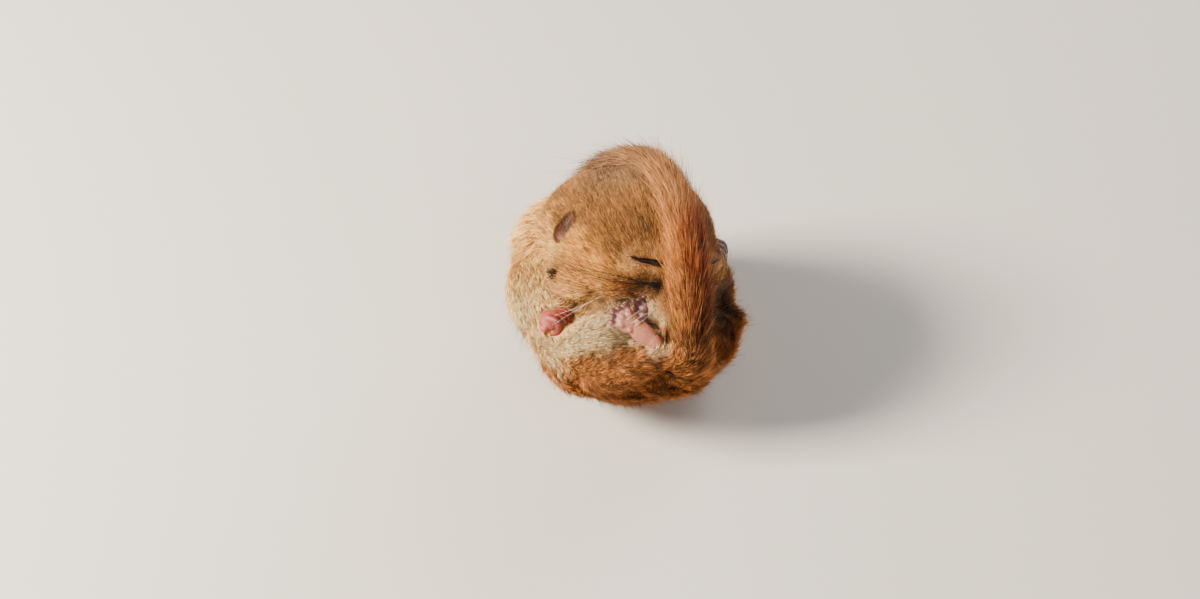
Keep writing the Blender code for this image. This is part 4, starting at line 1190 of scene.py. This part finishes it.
def sown(number, chance, seed):
    """Random roots over the skin: for each one its triangle's points and how near it is to each."""
    draw = np.random.default_rng(seed)
    one, two, three = (spots[corners[:, index]] for index in range(3))
    area = np.linalg.norm(np.cross(two - one, three - one), axis=1)
    weight = area * chance[corners].mean(axis=1)
    chosen = draw.choice(len(corners), number, p=weight / weight.sum())
    shares = draw.dirichlet((1.0, 1.0, 1.0), number)
    return corners[chosen], shares


def held(values, roots):
    """Values held at the skin's points, at each root."""
    points, shares = roots
    picked = values[points]
    if picked.ndim == 2:
        return np.sum(picked * shares, axis=1)
    return np.sum(picked * shares[:, :, None], axis=1)


def unit(rows):
    """Rows of unit length."""
    return rows / (np.linalg.norm(rows, axis=1)[:, None] + 1e-9)


def unwrapped(points, ways):
    """Each root's place on a flat map of the patch of skin that one piece of coat grows from."""
    middle = points.mean(axis=0)
    facing_out = ways.mean(axis=0)
    facing_out /= np.linalg.norm(facing_out)
    spread_out = np.sqrt(np.mean(np.sum((points - middle) ** 2, axis=1)))
    rays = unit(points - (middle - facing_out * spread_out * 1.2))
    across = np.cross(facing_out, (0.31, 0.87, 0.38))
    across /= np.linalg.norm(across)
    upward = np.cross(facing_out, across)
    stretch = np.sqrt(2.0 / (1.05 + rays @ facing_out))
    flat = np.column_stack((rays @ across, rays @ upward)) * stretch[:, None]
    low = flat.min(axis=0)
    return 0.01 + 0.97 * (flat - low) / (flat.max(axis=0) - low)


def tuft_shapes(roots, ways, lies, lengths, lifts, tips, widths, seed, pull):
    """The rings and tips of tufts: three corners at the root, three half way, and one at the tip."""
    draw = np.random.default_rng(seed)
    number = len(roots)
    lies = laid(lies + draw.normal(0.0, LIE_CHANGE, (number, 3)), ways)
    rise = np.radians(lifts + draw.normal(0.0, RISE_CHANGE, number))
    fall = np.radians(tips + draw.normal(0.0, FALL_CHANGE, number))
    bend = 0.6 * rise + 0.4 * fall
    half = lengths[:, None] * 0.5
    knee = roots + half * (lies * np.cos(bend)[:, None] + ways * np.sin(bend)[:, None])
    end = knee + half * (lies * np.cos(fall)[:, None] + ways * np.sin(fall)[:, None])
    heads = draw.choice(number, max(1, number // CLUMP_TUFTS), replace=False)
    tree = KDTree(len(heads))
    for index, head in enumerate(heads):
        tree.insert(roots[head], index)
    tree.balance()
    nearest = heads[np.array([tree.find(point)[1] for point in roots])]
    together = np.sum(ways * ways[nearest], axis=1) > CLUMP_SAME_WAY
    drawn = (pull * together * draw.uniform(0.5, 1.2, number))[:, None]
    end = end + (end[nearest] - end) * drawn
    knee = knee + (knee[nearest] - knee) * drawn * KNEE_PULL
    side = unit(np.cross(lies, ways)) * widths[:, None]
    ridge = ways * widths[:, None] * 0.9
    base = roots - ways * ROOT_SUNK
    first = np.stack((base + side, base + ridge, base - side), axis=1)
    second = np.stack((knee + side * KNEE_WIDTH, knee + ridge * KNEE_WIDTH, knee - side * KNEE_WIDTH), axis=1)
    return np.concatenate((first, second, end[:, None, :]), axis=1)


def coat_piece(name, shapes, low_tones, high_tones, places, material):
    """Joins tufts into one piece of coat, with their tones and their places on the map of the skin."""
    number = len(shapes)
    points = at_rest(shapes.reshape(-1, 3))
    points[:, 2] = np.maximum(points[:, 2], FLOOR_CLEAR)
    starts = (np.arange(number) * TUFT_POINTS)[:, None, None]
    sides = (starts + TUFT_SIDES[None]).reshape(number, -1)
    ends = (starts + TUFT_TIPS[None]).reshape(number, -1)
    loops = np.concatenate((sides, ends), axis=1).ravel()
    begins = np.cumsum(TUFT_CORNERS) - TUFT_CORNERS
    begins = ((np.arange(number) * TUFT_CORNERS.sum())[:, None] + begins).ravel()
    mesh = bpy.data.meshes.new(name)
    mesh.vertices.add(len(points))
    mesh.vertices.foreach_set("co", points.ravel())
    mesh.loops.add(len(loops))
    mesh.loops.foreach_set("vertex_index", loops)
    mesh.polygons.add(len(begins))
    mesh.polygons.foreach_set("loop_start", begins)
    mesh.update(calc_edges=True)
    patch = (places[:, None, :] + TUFT_MAP[None] * TUFT_PATCH).reshape(-1, 2)
    layer = mesh.uv_layers.new(name="OFBake")
    layer.data.foreach_set("uv", patch[loops].ravel())
    tones = np.empty((number, TUFT_POINTS, 4))
    tones[:, :, 3] = 1.0
    tones[:, 0:3, :3] = low_tones[:, None, :]
    tones[:, 3:6, :3] = ((1.0 - KNEE_TONE) * low_tones + KNEE_TONE * high_tones)[:, None, :]
    tones[:, 6, :3] = high_tones
    colours = mesh.color_attributes.new("coat_tone", "FLOAT_COLOR", "POINT")
    colours.data.foreach_set("color", np.clip(tones, 0.0, 1.0).ravel())
    mesh.polygons.foreach_set("use_smooth", np.ones(len(begins), bool))
    mesh.materials.append(material)
    piece = bpy.data.objects.new(name, mesh)
    bpy.context.scene.collection.objects.link(piece)
    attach(piece, "root")


fur = finish_of("fur", "coat_tone", 9000.0, 0.10, 0.62, gloss=0.22)
crowd = growth_crowd * np.where(at_rest(spots)[:, 2] < PRESSED_BELOW, PRESSED_CROWD, 1.0)
crowd = crowd * np.where(is_bare, BARE_CROWD, 1.0)
roots = sown(TUFTS, crowd, 5)
root_spots = held(spots, roots)
root_ways = unit(held(normals, roots))
root_lie = held(lie, roots)
root_kind = kind[roots[0][:, 0]]
root_length = held(hair_length, roots)
root_rise = held(growth_rise, roots)
root_fall = held(growth_fall, roots)
root_tone = held(tone, roots)
draw = np.random.default_rng(8)
root_length = root_length * draw.uniform(0.75, 1.15, TUFTS)
root_width = HALF_WIDTH * draw.uniform(0.7, 1.25, TUFTS) * np.clip(root_length / 3.0, 0.5, 1.15)
root_pull = held(growth_pull, roots)
guard = draw.uniform(size=TUFTS) < GUARD_SHARE
root_length[guard] *= GUARD_LENGTHEN
root_width[guard] *= GUARD_THIN
root_rise[guard] += GUARD_LIFT
root_fall[guard] += GUARD_LIFT
root_pull[guard] = 0.0
shapes = tuft_shapes(
    root_spots, root_ways, root_lie, root_length, root_rise, root_fall, root_width, 9, root_pull
)

# Hairs give way to bare skin: none grows into a paw, an ear or the nose, or over the slit of an eye.
SLIT_CLEAR = 0.36
EYE_HEIGHT = 2.0
EYE_REACH = 5.0
EYE_BEHIND = 8.0
BARE_STATIONS = (0, 2, 4, 6)
SLIT_STATIONS = (0, 4, 6)
keep = np.ones(TUFTS, bool)
for tree, centre, reach, gap in bare_shapes:
    for station in BARE_STATIONS:
        points = shapes[:, station, :]
        close = np.nonzero(keep & (np.linalg.norm(points - np.array(centre), axis=1) < reach + 0.5))[0]
        for index in close:
            point = Vector(points[index])
            spot, way, _, away = tree.find_nearest(point)
            if (point - spot).dot(way) < gap:
                keep[index] = False
slits = KDTree(len(slit_points))
for index, point in enumerate(slit_points):
    slits.insert(point, index)
slits.balance()
near_eye = (np.abs(root_spots[:, 2] - EYE_HEIGHT) < EYE_REACH) & (root_spots[:, 1] > EYE_BEHIND)
for index in np.nonzero(keep & near_eye)[0]:
    if min(slits.find(shapes[index, station])[2] for station in SLIT_STATIONS) < SLIT_CLEAR:
        keep[index] = False

# Each hair is darker at its root, less so where the coat is pale, and lighter at its tip. Fine grain
# runs through the tips, some of them black and some buff.
BRIGHTNESS_CHANGE = 0.20
ROOT_SHADE = 0.58
ROOT_SHADE_LESS = 0.34
TIP_LIGHT = 1.16
GRAIN_LEAST = 0.40
GRAIN_MORE = 2.0
FINE_GRAIN = 0.085
COARSE_GRAIN = 0.22
COARSE_SHARE = 0.8
TIP_DARKEST = 0.25
TIP_LIGHTEST = 1.7
BLACK_TIP = 0.30
BUFF_CHANCE = 0.90
BUFF_SHARE = 0.35
brightness = draw.normal(1.0, BRIGHTNESS_CHANGE, TUFTS)
chance = draw.uniform(size=TUFTS)
paleness = np.clip(root_tone.mean(axis=1) * 2.0 - 0.5, 0.0, 1.0)
low_tones = root_tone * (ROOT_SHADE + ROOT_SHADE_LESS * paleness)[:, None]
high_tones = root_tone * brightness[:, None] * TIP_LIGHT
grain = GRAIN_LEAST + GRAIN_MORE * (held(patchy, roots) - PATCHY_LEAST)
streaks = ticking(root_spots, FINE_GRAIN, 11) + COARSE_SHARE * ticking(root_spots, COARSE_GRAIN, 12)
high_tones *= np.clip(1.0 + grain * streaks, TIP_DARKEST, TIP_LIGHTEST)[:, None]
high_tones[chance < held(growth_black, roots)] *= BLACK_TIP
buff = chance > BUFF_CHANCE
high_tones[buff] = high_tones[buff] * (1.0 - BUFF_SHARE) + BUFF * BUFF_SHARE

# The coat's pieces: which kinds of coat each covers, its finish and the fewest parts that it is cut
# into, from the left to the right. A part holds no more than a set number of tufts.
GROUPS = (
    ("head_coat", FACE_KINDS, "orange_coat", 2),
    ("nape_coat", ("neck",), "pale_coat", 1),
    ("back_coat", ("torso",), "orange_coat", 1),
    ("rump_coat", ("rump",), "orange_coat", 1),
    ("belly_coat", ("belly", "right_flank", "left_flank"), "pale_coat", 1),
    ("arm_coat", ("right_forearm", "left_forearm"), "pale_coat", 2),
    ("leg_coat", ("right_thigh", "left_thigh", "right_shank", "left_shank"), "orange_coat", 2),
    ("tail_coat", ("tail",), "orange_coat", 2),
)
PIECE_TUFTS = 21000
for group_name, members, slot_name, fewest in GROUPS:
    inside = np.nonzero(keep & np.isin(root_kind, [KINDS.index(name) for name in members]))[0]
    parts = max(fewest, math.ceil(len(inside) / PIECE_TUFTS))
    order = inside[np.argsort(root_spots[inside, 0])]
    for number, chosen in enumerate(np.array_split(order, parts)):
        coat_piece(
            f"{group_name}_{number + 1}",
            shapes[chosen],
            low_tones[chosen],
            high_tones[chosen],
            unwrapped(root_spots[chosen], root_ways[chosen]),
            fur,
        )

# The down of the ears: short brown hairs that lie towards the ear's end, closest along its rim.
DOWN_LENGTH = 0.75
DOWN_RISE = 30.0
DOWN_FALL = 12.0
DOWN_HALF_WIDTH = 0.03
DOWN_PULL = 0.1
DOWN_ROOT_SHADE = 0.7
for (word, side), (down_spots, down_ways, down_lies) in zip(SIDES, ear_down):
    number = len(down_spots)
    draw = np.random.default_rng(43)
    lengths = DOWN_LENGTH * draw.uniform(0.5, 1.2, number)
    rises, falls, widths, pulls = (
        np.full(number, value) for value in (DOWN_RISE, DOWN_FALL, DOWN_HALF_WIDTH, DOWN_PULL)
    )
    flat = laid(down_lies, down_ways)
    down_shapes = tuft_shapes(down_spots, down_ways, flat, lengths, rises, falls, widths, 44, pulls)
    down_tones = np.repeat(EAR_FUZZ[None, :], number, axis=0) * draw.uniform(0.6, 1.25, number)[:, None]
    coat_piece(
        word + "_ear_down",
        down_shapes,
        down_tones * DOWN_ROOT_SHADE,
        down_tones,
        unwrapped(down_spots, down_ways),
        fur,
    )

# The floor: a plain, pale and dull sheet that runs out of sight on every side.
FLOOR_TONE = (0.62, 0.585, 0.545, 1.0)
FLOOR_ROUGHNESS = 0.8
floor_form = bmesh.new()
bmesh.ops.create_grid(floor_form, x_segments=1, y_segments=1, size=1.5)
floor = piece_of(floor_form, "floor")
floor_finish = bpy.data.materials.new("floor")
floor_finish.use_nodes = True
floor_shader = floor_finish.node_tree.nodes["Principled BSDF"]
floor_shader.inputs["Base Color"].default_value = FLOOR_TONE
floor_shader.inputs["Roughness"].default_value = FLOOR_ROUGHNESS
floor.data.materials.append(floor_finish)

# The light: a warm soft key from above on the left, a weaker fill from the right, a soft light from
# behind that lifts the outline, and an even pale surround.
LIGHT_AIM = Vector((0.0, 0.0, 0.02))
LIGHTS = (
    ("key", (-0.42, -0.06, 0.34), 0.16, 11.6, (1.0, 0.91, 0.74)),
    ("fill", (0.30, -0.40, 0.35), 0.40, 1.1, (1.0, 0.96, 0.92)),
    ("back", (0.30, 0.40, 0.26), 0.30, 2.2, (1.0, 0.96, 0.90)),
)
SURROUND_TONE = (0.86, 0.88, 0.90, 1.0)
SURROUND_STRENGTH = 0.26
for name, place, size, power, warmth in LIGHTS:
    light = bpy.data.lights.new(name, "AREA")
    light.size = size
    light.energy = power
    light.color = warmth
    holder = bpy.data.objects.new(name, light)
    bpy.context.scene.collection.objects.link(holder)
    holder.location = place
    holder.rotation_euler = (LIGHT_AIM - Vector(place)).to_track_quat("-Z", "Y").to_euler()
world = bpy.data.worlds.new("surround")
bpy.context.scene.world = world
world.use_nodes = True
background = world.node_tree.nodes["Background"]
background.inputs["Color"].default_value = SURROUND_TONE
background.inputs["Strength"].default_value = SURROUND_STRENGTH
